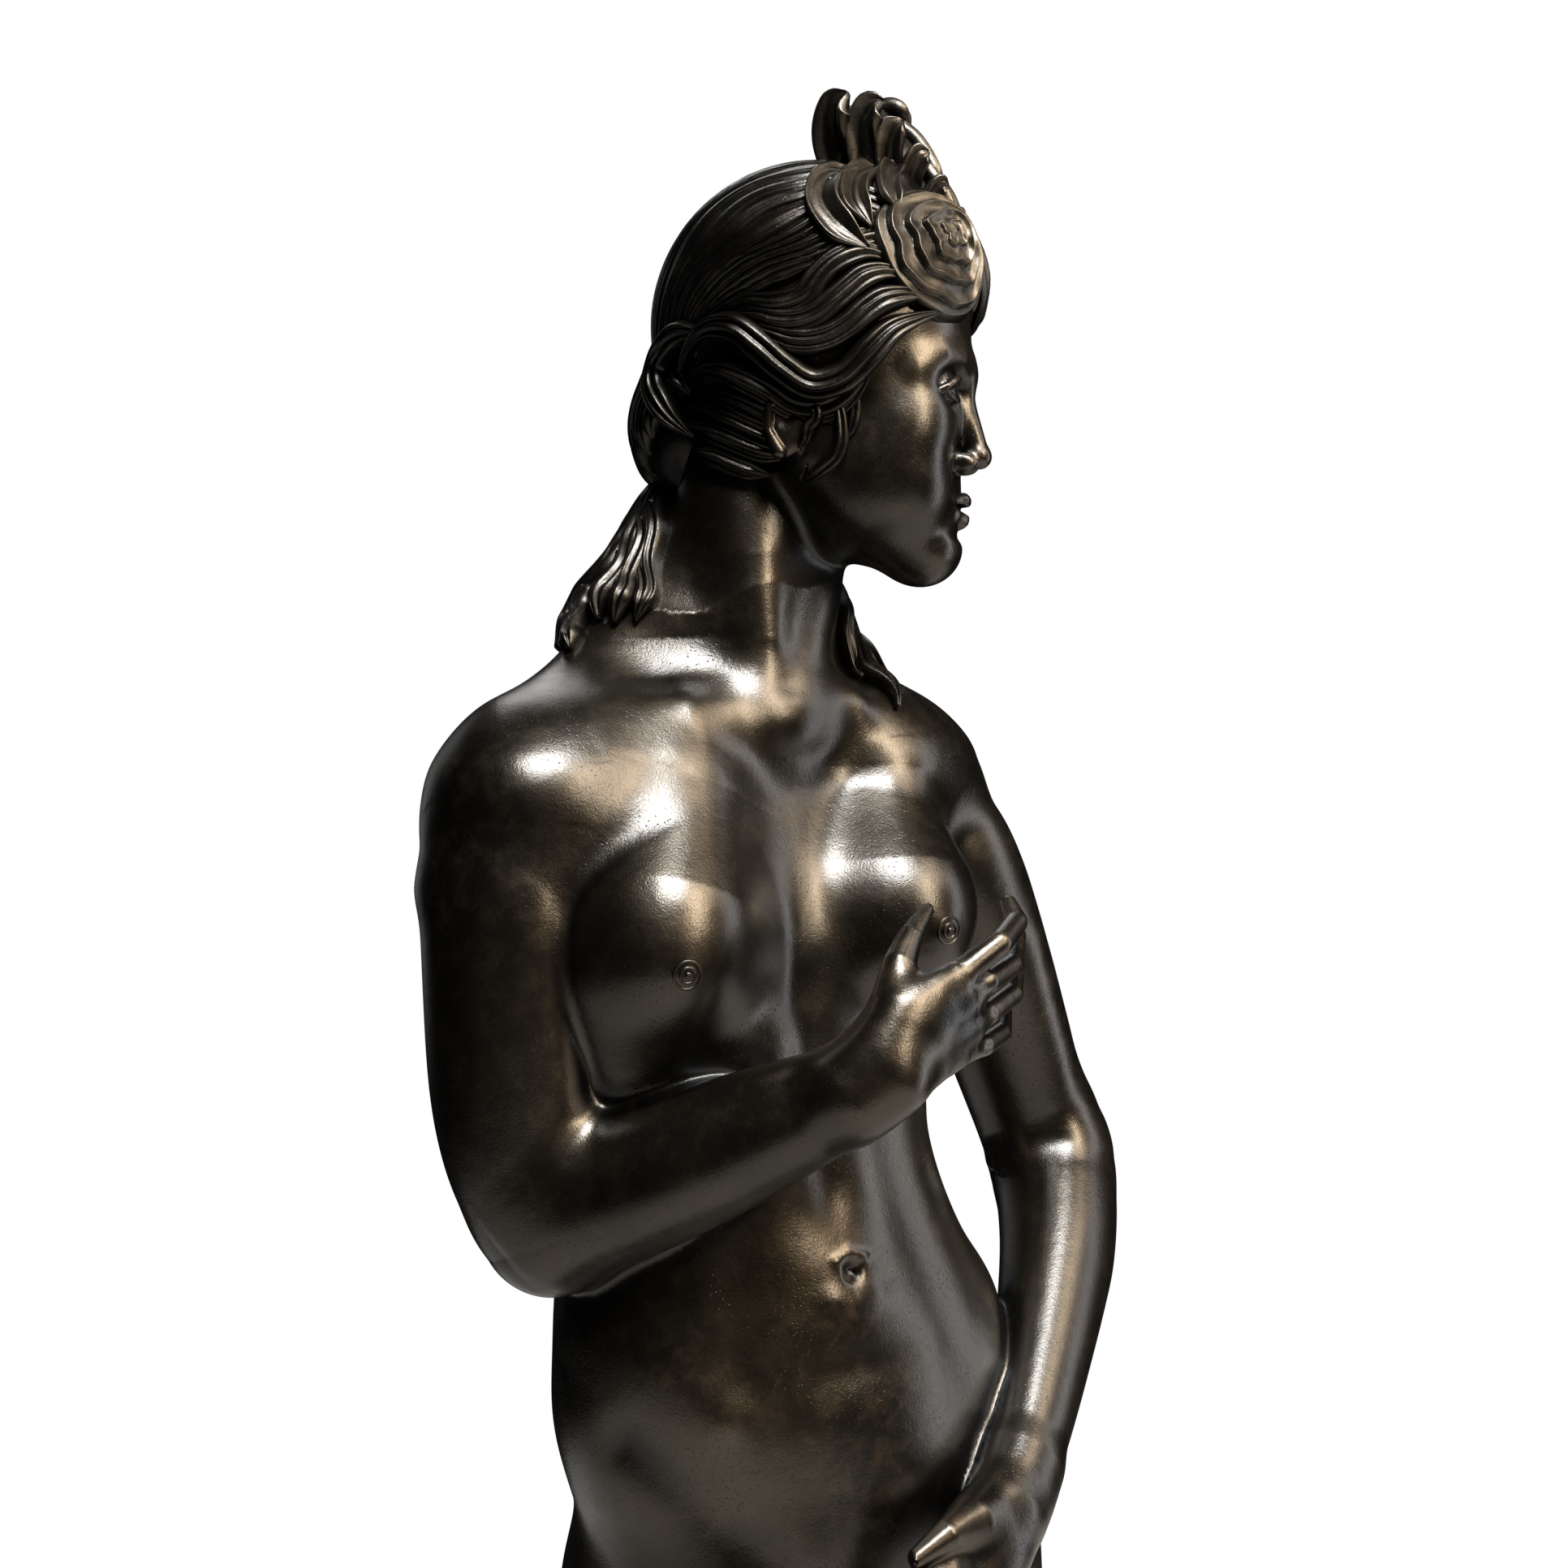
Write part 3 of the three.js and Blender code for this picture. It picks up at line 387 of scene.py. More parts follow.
right_leg = leg(LEG_R, FOOT_R, (-37.5, -25, 4), (-0.2, -1, 0), (1, -0.1, 0), (-15, -38, 146), -1)
left_leg = leg(LEG_L, FOOT_L, (21.5, -38, 4), (0.14, -1, 0), (-1, -0.1, 0), (20, -18, 149), 1)
right_arm = arm(ARM_R_UPPER, ARM_R_FORE, RIGHT_HAND, [
    # shoulder muscle, muscles of the upper arm, elbow and its crease, forearm, and the knuckles' hollow
    swell([(-64, -11, 424), (-70, -5, 405)], (10, 12, 14), 1.0),
    swell([(-69, 3, 416), (-70, 3, 408)], (8, 12, 7), 1.7),
    swell([(-57, -18, 395), (-55, -16, 372)], (8, 7, 14), 1.0),
    swell([(-57, 15, 395), (-56, 15, 375)], (8, 7, 14), 1.0),
    swell((-49, 8, 342), (5, 5, 5), 1.4),
    swell((-43, -10, 360), (4.5, 4.5, 4), -1.5),
    swell([(-49, -15, 345), (-36, -31, 353)], (8, 8, 6), 0.7),
    swell([(-1, -60, 385), (2, -57, 374)], (3.5, 3, 5), -0.3),
])
left_arm = arm(ARM_L_UPPER, ARM_L_FORE, LEFT_HAND, [
    swell([(48, -8, 420), (55, -3, 402)], (10, 12, 14), 1.0),
    swell([(59, -6, 385), (66, -3, 366)], (7, 7, 13), 1.0),
    swell([(59, 18, 385), (65, 18, 366)], (7, 7, 13), 1.0),
    swell((75, 16, 338), (5, 5, 5), 1.4),
    swell((64, -3, 346), (6, 5, 6), -0.8),
    swell([(74, 0, 330), (66, -8, 318)], (7, 7, 9), 0.8),
])

RIGHT_BREAST, LEFT_BREAST = np.array([-38, -20, 392.0]), np.array([14.5, -19, 394.5])
RIGHT_NIPPLE, LEFT_NIPPLE = np.array([-40.1, -35.6, 390.6]), np.array([16.1, -34.4, 393.8])
NAVEL = np.array([-4.5, -28.5, 333.5])
COLLAR_BONE = [2.2, 2.6, 3.2, 5]
# each form with the width of the fillet that joins it to the trunk: breasts and the slopes above them,
# buttocks, neck, the slopes from neck to shoulders, neck muscles and collar bones
trunk_forms = [
    *[(ellipsoid(centre, (14, 15.4, 13.4)), 14.0) for centre in (RIGHT_BREAST, LEFT_BREAST)],
    (chain([(-26.5, -14, 421), (-34.6, -20, 401)], [8.5, 13], 22), 13.0),
    (chain([(20, -11, 421), (17, -18, 402)], [8, 12], 22), 13.0),
    (ellipsoid((-18, 17, 266), (23, 21, 24)), 11.0),
    (ellipsoid((24, 17, 270), (23, 21, 25)), 11.0),
    (limb([[-7, 6, 432, 18, 15], [-5.5, 5.5, 444, 16, 15.4], [-2.5, 2.5, 458, 14.8, 15.2],
           [1, -1, 474, 14.6, 15.2], [4, -3, 492, 14.6, 15.2]], X_SIDE), 14.0),
    (chain([(-10, 11, 466), (-25, 9, 447), (-46, 4, 430)], [7, 9, 9], 22), 16.0),
    (chain([(4, 10, 464), (13, 8, 446), (28, 5, 428)], [7, 9, 9], 22), 16.0),
    (chain([(-7.5, -11.6, 436), (-6.6, -12.4, 449), (-7, -10.4, 464), (-9, -2, 486)],
           [2.0, 2.8, 3.6, 4.2], 18), 9.0),
    (chain([(-1, -11.8, 436), (5, -9, 449), (13, -3, 464), (21, 5, 482)], [2.0, 2.7, 3.4, 4.2], 18), 9.0),
    (chain([(-9, -11, 434), (-24, -12, 434.5), (-38, -6, 430.5), (-47, 0, 425)], COLLAR_BONE, 18), 14.0),
    (chain([(-1, -11, 434), (12, -11.4, 435), (24, -5, 431), (31, 2, 425)], COLLAR_BONE, 18), 14.0),
]
torso_relief = [
    # belly, navel and the soft furrows round it
    swell([(-6, -26, 333), (-5, -27, 326)], (15, 13, 12), 1.9),
    swell([(-1, -28, 306), (2, -29, 292)], (21, 14, 15), 2.6),
    swell([(-4, -28, 317)], (15, 8, 5), -0.5),
    swell([(-12.5, -27, 384), (-9, -27, 362), (-6.5, -27, 349)], (5, 8, 9), -0.9),
    swell(NAVEL, (2.0, 5, 2.0), -2.0),
    swell([NAVEL + (-3, 0, 2.4), NAVEL + (0, 0, 3.6), NAVEL + (3, 0, 2.4)], (1.6, 6, 1.3), 0.5),
    swell([NAVEL + (-4, 0, -4.4), NAVEL + (0, 0, -5.6), NAVEL + (4, 0, -4.4)], (4.6, 6, 3.2), 0.6),
    swell([(-30, -22, 372), (-25, -24, 356), (-25, -23, 336), (-26, -24, 318)], (7, 8, 10), -0.8),
    swell([(8, -25, 375), (9, -24, 356), (13, -23, 336), (18, -23, 318)], (7, 8, 10), -0.8),
    # lower edge of the ribs, hip bones and groin
    swell([(-18, -27, 376), (-30, -24, 366), (-42, -14, 358)], (8, 9, 6), 0.8),
    swell([(-5, -27, 378), (8, -25, 369), (23, -14, 361)], (8, 9, 6), 0.8),
    swell([(-45, -2, 326), (-37, -17, 319), (-31, -23, 311)], (7, 8, 7), 1.1),
    swell([(37, -3, 326), (34, -15, 319), (31, -21, 311)], (7, 8, 7), 1.6),
    swell([(-43, -13, 306), (-32, -24, 293), (-19, -29, 277), (-8, -26, 264)], (5.6, 8, 7), -1.7),
    swell([(45, -10, 306), (36, -22, 293), (24, -28, 277), (14, -25, 264)], (5.6, 8, 7), -1.7),
    swell([(3, -27, 264), (4, -22, 252)], (10, 8, 10), 3.0),
    *[swell(at, (3.2, 3.0, 3.2), 0.5) for at in (RIGHT_NIPPLE, LEFT_NIPPLE)],
    # back
    swell([(-14, 34, 425), (-13, 34, 390), (-9, 28, 350), (-3, 28, 318)], (4, 9, 12), -2.6),
    swell([(2, 34, 286), (3, 37, 264), (3.5, 32, 242)], (3.4, 15, 9), -4.4),
    swell([(-33, 30, 418), (-31, 30, 398)], (11, 9, 13), 2.0),
    swell([(6, 30, 420), (5, 30, 400)], (11, 9, 13), 2.0),
    swell([(-22, 27, 345), (-14, 28, 318)], (8, 7, 14), 1.3),
    swell([(5, 27, 345), (9, 28, 318)], (8, 7, 14), 1.3),
    *[swell((x, 30, 306), (4, 5, 4), -1.4) for x in (-9, 11)],
    # pit of the neck and the hollows above the collar bones
    swell((-4.5, -14, 438.5), (5, 5, 5), -1.5),
    swell([(-26, -8, 441), (-36, -3, 439)], (8, 6, 4), -0.6),
    swell([(17, -7, 442), (24, -3, 439)], (8, 6, 4), -0.6),
]


def torso_base(P):
    d = smin(trunk(P), smin(right_leg(P), left_leg(P), 2.5), 14.0)
    for form, k in trunk_forms:
        d = smin(d, form(P), k)
    return d


torso = relief(torso_base, torso_relief)


def arm_fillet(P):
    """Wide at the shoulder, tight in the crease under the arm."""
    return 2.2 + 24 * smoothstep(P[:, 2], 400, 430)


# ---- the head: its own frame (forward, left, up) turned to the figure's left --------------
HEAD_AT = np.array([7.0, -9.0, 503.0])
FORWARD, LEFT = np.array([0.731, -0.683, 0]), np.array([0.683, 0.731, 0])
HEAD_AXES = np.array([FORWARD, LEFT, (0, 0, 1)])


def from_head(points):
    return HEAD_AT + np.asarray(points, float) @ HEAD_AXES


def sides(make, points, *rest):
    """The same form on both sides of the face."""
    points = np.asarray(points, float)
    return [make(points, *rest), make(points * (1, -1, 1), *rest)]


# eyes lie on a ball; lids run over it between the corners
EYE = np.array([27.6, 8.4, -7.4])


def lid(rise, ball, start, end):
    a = np.linspace(start, end, 9)
    side, up = 4.4 * a, rise * (1 - np.abs(a) ** 2.2) - 0.35 * a
    ahead = np.sqrt(np.maximum(ball**2 - side**2 - up**2, 0.5))
    return np.column_stack([EYE[0] + ahead - 0.05 * side, EYE[1] + side, EYE[2] + up])


skull = ellipsoid((3.5, 0, 5), (29.5, 24.5, 29.5))
# each form with the width of its fillet: jaw block, chin, jaw line, cheeks, brows, nose
face_forms = [
    (ellipsoid((15.5, 0, -15), (16.4, 17.6, 24.4), 2.2), 9.0),
    (ellipsoid((27, 0, -35.6), (5.6, 6.2, 5.0)), 6.0),
    *[(f, 8.0) for f in sides(chain, [(8, 13.6, -20), (17, 9.6, -30), (26, 3, -36)], [6, 5.4, 4.4], 18)],
    *[(f, 7.0) for f in sides(ellipsoid, (23.4, 10.6, -14.4), (7.2, 6.4, 6.4))],
    *[(f, 5.0) for f in sides(ellipsoid, (25.6, 7, -26.5), (6, 6, 5.5))],
    *[(f, 8.0) for f in sides(ellipsoid, (20, 11.4, -23.5), (8, 6.6, 9))],
    *[(f, 5.0) for f in sides(chain, [(32.2, 2.2, -3.2), (31.5, 6.5, -1.4), (28.9, 11.4, -1.6),
                                      (24.6, 15.4, -4.2)], [0.8, 0.9, 0.9, 0.8])],
    (chain([(30.4, 0, -1), (32.4, 0, -8), (35.6, 0, -17.6)], [2.9, 2.0, 2.2]), 2.8),
    (ellipsoid((35.9, 0, -18.5), (2.4, 2.4, 2.1), 2.0, 10.0), 1.4),
    *[(f, 1.5) for f in sides(ellipsoid, (33.2, 2.9, -19.8), (2.6, 1.6, 1.8), 2.0, 10.0)],
]
mouth_forms = [
    (ellipsoid((28.6, 0, -28), (4.6, 6.4, 5), 2.0, 10.0), 3.0),
    *[(f, 0.9) for f in sides(chain, [(29.4, 5.5, -27.5), (32.2, 3.0, -27.0), (33.7, 1.0, -26.5),
                                      (33.7, 0, -26.9)], [0.6, 1.15, 1.3, 1.2])],
    *[(f, 0.9) for f in sides(chain, [(29.6, 5.1, -28.1), (32.2, 2.6, -29.5), (33.1, 0, -30.1)],
                              [0.8, 1.45, 1.7])],
]
eye_forms = [
    *[(f, 0.5) for f in sides(ellipsoid, EYE, (4.6, 4.6, 4.6), 2.0, 10.0)],
    *[(f, 0.35) for f in sides(chain, lid(2.3, 5.0, -1.0, 1.12), [0.4] + [0.66] * 7 + [0.45])],
    *[(f, 0.35) for f in sides(chain, lid(-1.7, 4.95, -1.0, 1.0), [0.35] + [0.52] * 7 + [0.35])],
]
EAR = np.array([2.4, 20.6, -16.8])
EAR_RIM = np.array([(2.6, 0.8, 2.6), (0.6, 1.6, 4.8), (-2.6, 1.8, 3.4), (-2.8, 1.6, -1), (-0.5, 1.2, -4.8)])
ear_forms = [
    *[(f, 1.6) for f in sides(ellipsoid, EAR, (3.8, 1.8, 5.8), 2.0, 10.0)],
    *[(f, 0.6) for f in sides(chain, EAR + EAR_RIM, [0.8, 0.9, 1, 0.9, 1.4])],
]
# hollows of the eyes, temples, nose wings, upper lip and chin, then finer ones of the mouth, eyes and ears
head_relief = [
    *sides(swell, [(32.6, 8.2, -6.6)], (6, 5.6, 3.8), -2.3),
    *sides(swell, [(31.6, 3.5, -6.8)], (3, 2.0, 3), -0.9),
    *sides(swell, [(25, 19.5, -3)], (8, 4, 7), -0.6),
    *sides(swell, [(33.4, 4.6, -20), (31.0, 6.6, -24.5)], (1.8, 1.6, 1.8), -0.45),
    swell([(33.9, 0, -22.8), (34.2, 0, -25)], (3, 0.9, 2), -0.55),
    swell([(33.5, 0, -33)], (4, 5, 1.8), -1.0),
]
fine_relief = [
    *sides(swell, [(28.8, 6.2, -27.7), (31.8, 3.2, -27.9), (34.6, 0, -28.5)], (1.6, 1.0, 0.6), -1.1),
    *sides(swell, [(29.2, 6.1, -27.8)], (1.6, 1.0, 1.0), -0.6),
    *sides(swell, [(34.8, 1.6, -21.0)], (1.5, 0.9, 0.9), -1.0),
    *sides(swell, [(33.2, 5.4, -19.8)], (2.2, 0.7, 2.0), -0.5),
    *sides(swell, EYE + np.array([(5.0, -0.4, 0.2)]), (1.0, 1.0, 1.0), -0.45),
    *sides(swell, EAR + np.array([(0.3, 2.2, 2.2)]), (2.0, 2.2, 2.8), -1.7),
]
# the face leans forward from the skull
NOD = math.radians(7)
NOD_ABOUT = np.array([6.0, 0, -4])
FACE_BACK = 0.6
NOD_AXES = np.array([(math.cos(NOD), 0, -math.sin(NOD)), (0, 1, 0), (math.sin(NOD), 0, math.cos(NOD))])


def add_forms(d, P, forms):
    for form, k in forms:
        d = smin(d, form(P), k)
    return d


def head_in_its_frame(P):
    d = skull(P)
    P = (P - NOD_ABOUT) @ NOD_AXES.T + NOD_ABOUT + (FACE_BACK, 0, 0)
    d = add_forms(d, P, face_forms)
    m = np.abs(d) < 8
    Q = P[m]
    if len(Q):
        dq = d[m] + sum(s(Q) for s in head_relief)
        dq = add_forms(dq, Q, mouth_forms + eye_forms + ear_forms)
        d[m] = dq + sum(s(Q) for s in fine_relief)
    return d


def head(P):
    return head_in_its_frame((P - HEAD_AT) @ HEAD_AXES.T)


def figure(P):
    d = torso(P)
    k = arm_fillet(P)
    d = smin(d, right_arm(P), k)
    d = smin(d, left_arm(P), k)
    up = P[:, 2] > 440
    if up.any():
        d[up] = smin(d[up], head(P[up]), 4.5)
    return d
# ---- meshing -------------------------------------------------------------------------------
BLOCK = 8  # cells along a side of a block
WORKERS = ThreadPoolExecutor(4)


def spread(field, P, size=16000):
    """A field at many points, a slice to a thread."""
    slices = [slice(i, i + size) for i in range(0, len(P), size)]
    return np.concatenate(list(WORKERS.map(lambda s: field(P[s]), slices))) if slices else np.zeros(0)


TETRAHEDRON = np.array([(1, 1, 1), (1, -1, -1), (-1, 1, -1), (-1, -1, 1)], float)


def slope(field, P, step):
    """The gradient and the value of a field, from four points round each."""
    samples = [spread(field, P + step * corner) for corner in TETRAHEDRON]
    g = sum(value[:, None] * corner for value, corner in zip(samples, TETRAHEDRON)) / (4 * step)
    return g, sum(samples) / 4


HALF_DIAGONAL = 0.87  # of a cube, in sides
REACH = 2.2  # a block is filled where the field at its middle is within this many half diagonals


def sampled(field, lo, hi, cell):
    """A field on a grid over a box: its values in the blocks near its surface, only their sign elsewhere."""
    nb = np.ceil((hi - lo) / (cell * BLOCK)).astype(int)
    mids = [lo[k] + (np.arange(nb[k]) + 0.5) * BLOCK * cell for k in range(3)]
    centres = np.stack(np.meshgrid(*mids, indexing="ij"), axis=-1).reshape(-1, 3)
    coarse = spread(field, centres, 4000)
    grid = np.where(coarse < 0, -9.0, 9.0).astype(np.float32).reshape(nb)
    for axis in range(3):
        grid = np.repeat(grid, BLOCK, axis)
    grid = np.pad(grid, ((0, 1),) * 3, mode="edge")
    blocks = np.argwhere((np.abs(coarse) < BLOCK * cell * HALF_DIAGONAL * REACH).reshape(nb))
    blocks = blocks[np.lexsort((blocks[:, 0], blocks[:, 1], blocks[:, 2]))]
    step = np.arange(BLOCK + 1)
    offsets = np.stack(np.meshgrid(step, step, step, indexing="ij"), axis=-1).reshape(-1, 3)

    def fill(some):
        ijk = (some[:, None, :] * BLOCK + offsets[None]).reshape(-1, 3)
        return ijk, field(lo + ijk * cell)

    groups = [blocks[i:i + 64] for i in range(0, len(blocks), 64)]
    for ijk, values in WORKERS.map(fill, groups):
        grid[ijk[:, 0], ijk[:, 1], ijk[:, 2]] = values
    return grid


def cell_points(grid, cells):
    """A point in each cell: the mean of the places where the field passes 0 on the cell's edges."""
    corner = {d: grid[tuple((cells + d).T)] for d in np.ndindex(2, 2, 2)}
    total, hits = np.zeros((len(cells), 3)), np.zeros(len(cells))
    for axis in range(3):
        for d in np.ndindex(2, 2, 2):
            if d[axis]:
                continue
            far = tuple(1 if k == axis else d[k] for k in range(3))
            m = (corner[d] < 0) != (corner[far] < 0)
            p = np.tile(np.array(d, float), (m.sum(), 1))
            p[:, axis] = corner[d][m] / (corner[d][m] - corner[far][m])
            total[m] += p
            hits[m] += 1
    return cells + total / hits[:, None]


def cell_quads(inside, index):
    """A quad through the four cells round each grid edge that the surface crosses, facing outward."""
    n = inside.shape
    quads = []
    for axis in range(3):
        u, v = (axis + 1) % 3, (axis + 2) % 3
        near_side, far_side = [slice(None)] * 3, [slice(None)] * 3
        near_side[axis], far_side[axis] = slice(0, -1), slice(1, None)
        a = inside[tuple(near_side)]
        edges = np.argwhere(a != inside[tuple(far_side)])
        ok = (edges[:, u] > 0) & (edges[:, v] > 0) & (edges[:, u] < n[u] - 1) & (edges[:, v] < n[v] - 1)
        edges = edges[ok]
        outward = a[tuple(edges.T)]
        ring = []
        for du, dv in ((1, 1), (0, 1), (0, 0), (1, 0)):
            c = edges.copy()
            c[:, u] -= du
            c[:, v] -= dv
            ring.append(index[tuple(c.T)])
        q = np.stack(ring, axis=1)
        q[~outward] = q[~outward][:, ::-1]
        quads.append(q)
    return np.concatenate(quads)


def surface(field, lo, hi, cell):
    """The zero surface of a field in a box, as vertices and quads: surface nets, then Newton's method."""
    cell *= COARSER
    lo, hi = np.asarray(lo, float), np.asarray(hi, float)
    grid = sampled(field, lo, hi, cell)
    inside = grid < 0
    n = np.array(grid.shape) - 1
    count = np.zeros(tuple(n), np.int8)
    for i, j, k in np.ndindex(2, 2, 2):
        count += inside[i:n[0] + i, j:n[1] + j, k:n[2] + k]
    cells = np.argwhere((count > 0) & (count < 8))
    index = np.full(tuple(n), -1, np.int32)
    index[tuple(cells.T)] = np.arange(len(cells))
    verts = lo + cell_points(grid, cells) * cell
    for _ in range(2):
        g, f = slope(field, verts, cell * 0.2)
        verts -= np.clip(f / np.maximum(np.sum(g * g, 1), 0.05), -cell, cell)[:, None] * g
    return verts, cell_quads(inside, index)


def clip(verts, faces, value):
    """The part of a mesh where value, one number a vertex, is below 0, as triangles cut exactly."""
    if faces.shape[1] == 4:
        faces = np.concatenate([faces[:, [0, 1, 2]], faces[:, [0, 2, 3]]])
    low = value < 0
    if low.all():
        return verts, faces
    count = low[faces].sum(1)
    made, points, seen = [], [], {}

    def crossing(a, b):
        key = (min(a, b), max(a, b))
        if key not in seen:
            a, b = key
            t = value[a] / (value[a] - value[b])
            points.append(verts[a] + (verts[b] - verts[a]) * t)
            seen[key] = len(verts) + len(points) - 1
        return seen[key]

    for tri in faces[(count == 1) | (count == 2)]:
        for k in range(3):
            a, b, c = int(tri[k]), int(tri[(k + 1) % 3]), int(tri[(k + 2) % 3])
            if low[a] and not low[b] and not low[c]:
                made.append((a, crossing(a, b), crossing(a, c)))
            elif not low[a] and low[b] and low[c]:
                ab, ac = crossing(a, b), crossing(a, c)
                made += [(ab, b, c), (ab, c, ac)]
    verts = np.vstack([verts, np.array(points).reshape(-1, 3)])
    faces = np.vstack([faces[count == 3], np.array(made, int).reshape(-1, 3)])
    used, inverse = np.unique(faces, return_inverse=True)
    return verts[used], inverse.reshape(-1, 3)


def closed(verts, faces):
    """The mesh with a fan over each open edge loop."""
    edges = np.concatenate([faces[:, [0, 1]], faces[:, [1, 2]], faces[:, [2, 0]]])
    key = np.sort(edges, axis=1)
    order = np.lexsort((key[:, 1], key[:, 0]))
    k = key[order]
    same = np.all(k[1:] == k[:-1], axis=1)
    single = np.ones(len(k), bool)
    single[1:][same] = False
    single[:-1][same] = False
    follow = {int(a): int(b) for a, b in edges[order[single]]}
    verts, extra = list(verts), []
    while follow:
        start, at = follow.popitem()
        loop = [start]
        while at != start and at in follow:
            loop.append(at)
            at = follow.pop(at)
        if len(loop) < 3:
            continue
        hub = len(verts)
        verts.append(np.mean([verts[i] for i in loop], axis=0))
        extra += [(b, a, hub) for a, b in zip(loop, loop[1:] + loop[:1])]
    return np.array(verts), np.vstack([faces, np.array(extra, int).reshape(-1, 3)])


def make_mesh(name, verts, faces, normals=None, rub=None):
    """A Blender object from millimetre points; faces is an array or a list of index tuples."""
    mesh = bpy.data.meshes.new(name)
    mesh.from_pydata(metres(verts).tolist(), [], faces.tolist() if hasattr(faces, "tolist") else faces)
    mesh.polygons.foreach_set("use_smooth", np.ones(len(mesh.polygons), bool))
    if rub is not None:
        mesh.attributes.new("rub", "FLOAT", "POINT").data.foreach_set("value", np.asarray(rub, np.float32))
    if normals is not None:
        mesh.normals_split_custom_set_from_vertices(normals.tolist())
    obj = bpy.data.objects.new(name, mesh)
    bpy.context.scene.collection.objects.link(obj)
    return obj


# ---- hair: combed sheets and carved locks laid on the head ------------------------------------
def hair_base(P):
    """What the hair lies on, in the head's frame: skull, brow, neck and the core of the bun."""
    return add_forms(skull(P), P, HAIR_FORMS)


BUN = np.array([-21.5, 0, -12.5])
HAIR_FORMS = [(ellipsoid((16.5, 0, -15), (14.5, 16.5, 21)), 9.0), (ellipsoid(BUN, (8.8, 13, 10.8)), 7.0),
              (chain([(-9, 0, -22), (-9, 0, -60)], [14.5, 15.5], 22), 9.0)]


def laid(P, lift, base=hair_base):
    """Points moved to lift above the base, with the outward directions there."""
    for turn in range(5):
        n, value = slope(base, P, 0.3)
        n /= np.maximum(np.linalg.norm(n, axis=1), 1e-6)[:, None]
        if turn < 4:
            P = P - (value - lift)[:, None] * n
    return P, n


def resample(points, count):
    """Evenly spaced points on a smooth curve, and its length."""
    fine = smooth_table(points, 240, 0)
    run = np.concatenate([[0], np.cumsum(np.linalg.norm(np.diff(fine[:, :3], axis=0), axis=1))])
    at = np.linspace(0, run[-1], count)
    return np.stack([np.interp(at, run, fine[:, k]) for k in range(fine.shape[1])], axis=1), run[-1]


class Shape:
    """Vertices, faces and a wear value for each vertex, gathered from several carved forms."""

    def __init__(self):
        self.verts, self.faces, self.rub, self.total = [], [], [], 0

    def grid(self, P, rub, wrap=False, ends=False, loop=False):
        """A grid of points (stations, across, 3); wrap closes it across, and ends or loop close it along."""
        s, c = P.shape[:2]
        i, j = np.meshgrid(np.arange(s if loop else s - 1), np.arange(c if wrap else c - 1), indexing="ij")
        k, m = (j + 1) % c, (i + 1) % s
        q = np.stack([i * c + j, i * c + k, m * c + k, m * c + j], axis=-1).reshape(-1, 4)
        self.faces += (q + self.total).tolist()
        self.verts.append(P.reshape(-1, 3))
        self.rub.append(np.broadcast_to(rub, (s, c)).reshape(-1))
        at = self.total
        self.total += s * c
        if ends:
            for row, order in ((0, -1), (s - 1, 1)):
                ring = at + row * c + np.arange(c)[::order]
                self.verts.append(P[row].mean(0)[None])
                self.rub.append(np.array([0.5]))
                self.faces += [(int(a), int(b), self.total) for a, b in zip(ring, np.roll(ring, -1))]
                self.total += 1


def groove(phase, sharp=0.65):
    """0 in the groove at each whole number, 1 on the strand between."""
    return np.abs(np.sin(math.pi * phase)) ** sharp


dice = np.random.default_rng(7)
CURL_LENGTH = 15.0  # mm along a lock for one wave from side to side


def random_strands(share, strands):
    """The strand number, with a fraction, at a share of the width: strands of uneven widths."""
    widths = np.concatenate([[0], np.cumsum(dice.uniform(0.6, 1.5, strands))])
    return np.interp(share, widths / widths[-1], np.arange(strands + 1.0))


def path_frame(path, lift, free_from, base):
    """A lock's even points with the directions out of it and across it, and its length."""
    P, length = resample(path, 12)
    count = int(np.clip(length / 0.55, 26, 120))
    if free_from is None:
        P, _ = laid(P[:, :3], lift, base)
        P, length = resample(P, count)
        P, N = laid(P, lift, base)
    else:
        P, length = resample(path, count)
        N = P - np.asarray(free_from, float)
    T = np.gradient(P, axis=0)
    T /= np.linalg.norm(T, axis=1)[:, None]
    N = N - np.sum(N * T, axis=1)[:, None] * T
    for _ in range(3):
        N[1:-1] = (N[:-2] + N[1:-1] + N[2:]) / 3
    N /= np.linalg.norm(N, axis=1)[:, None]
    return P, N, np.cross(T, N), length


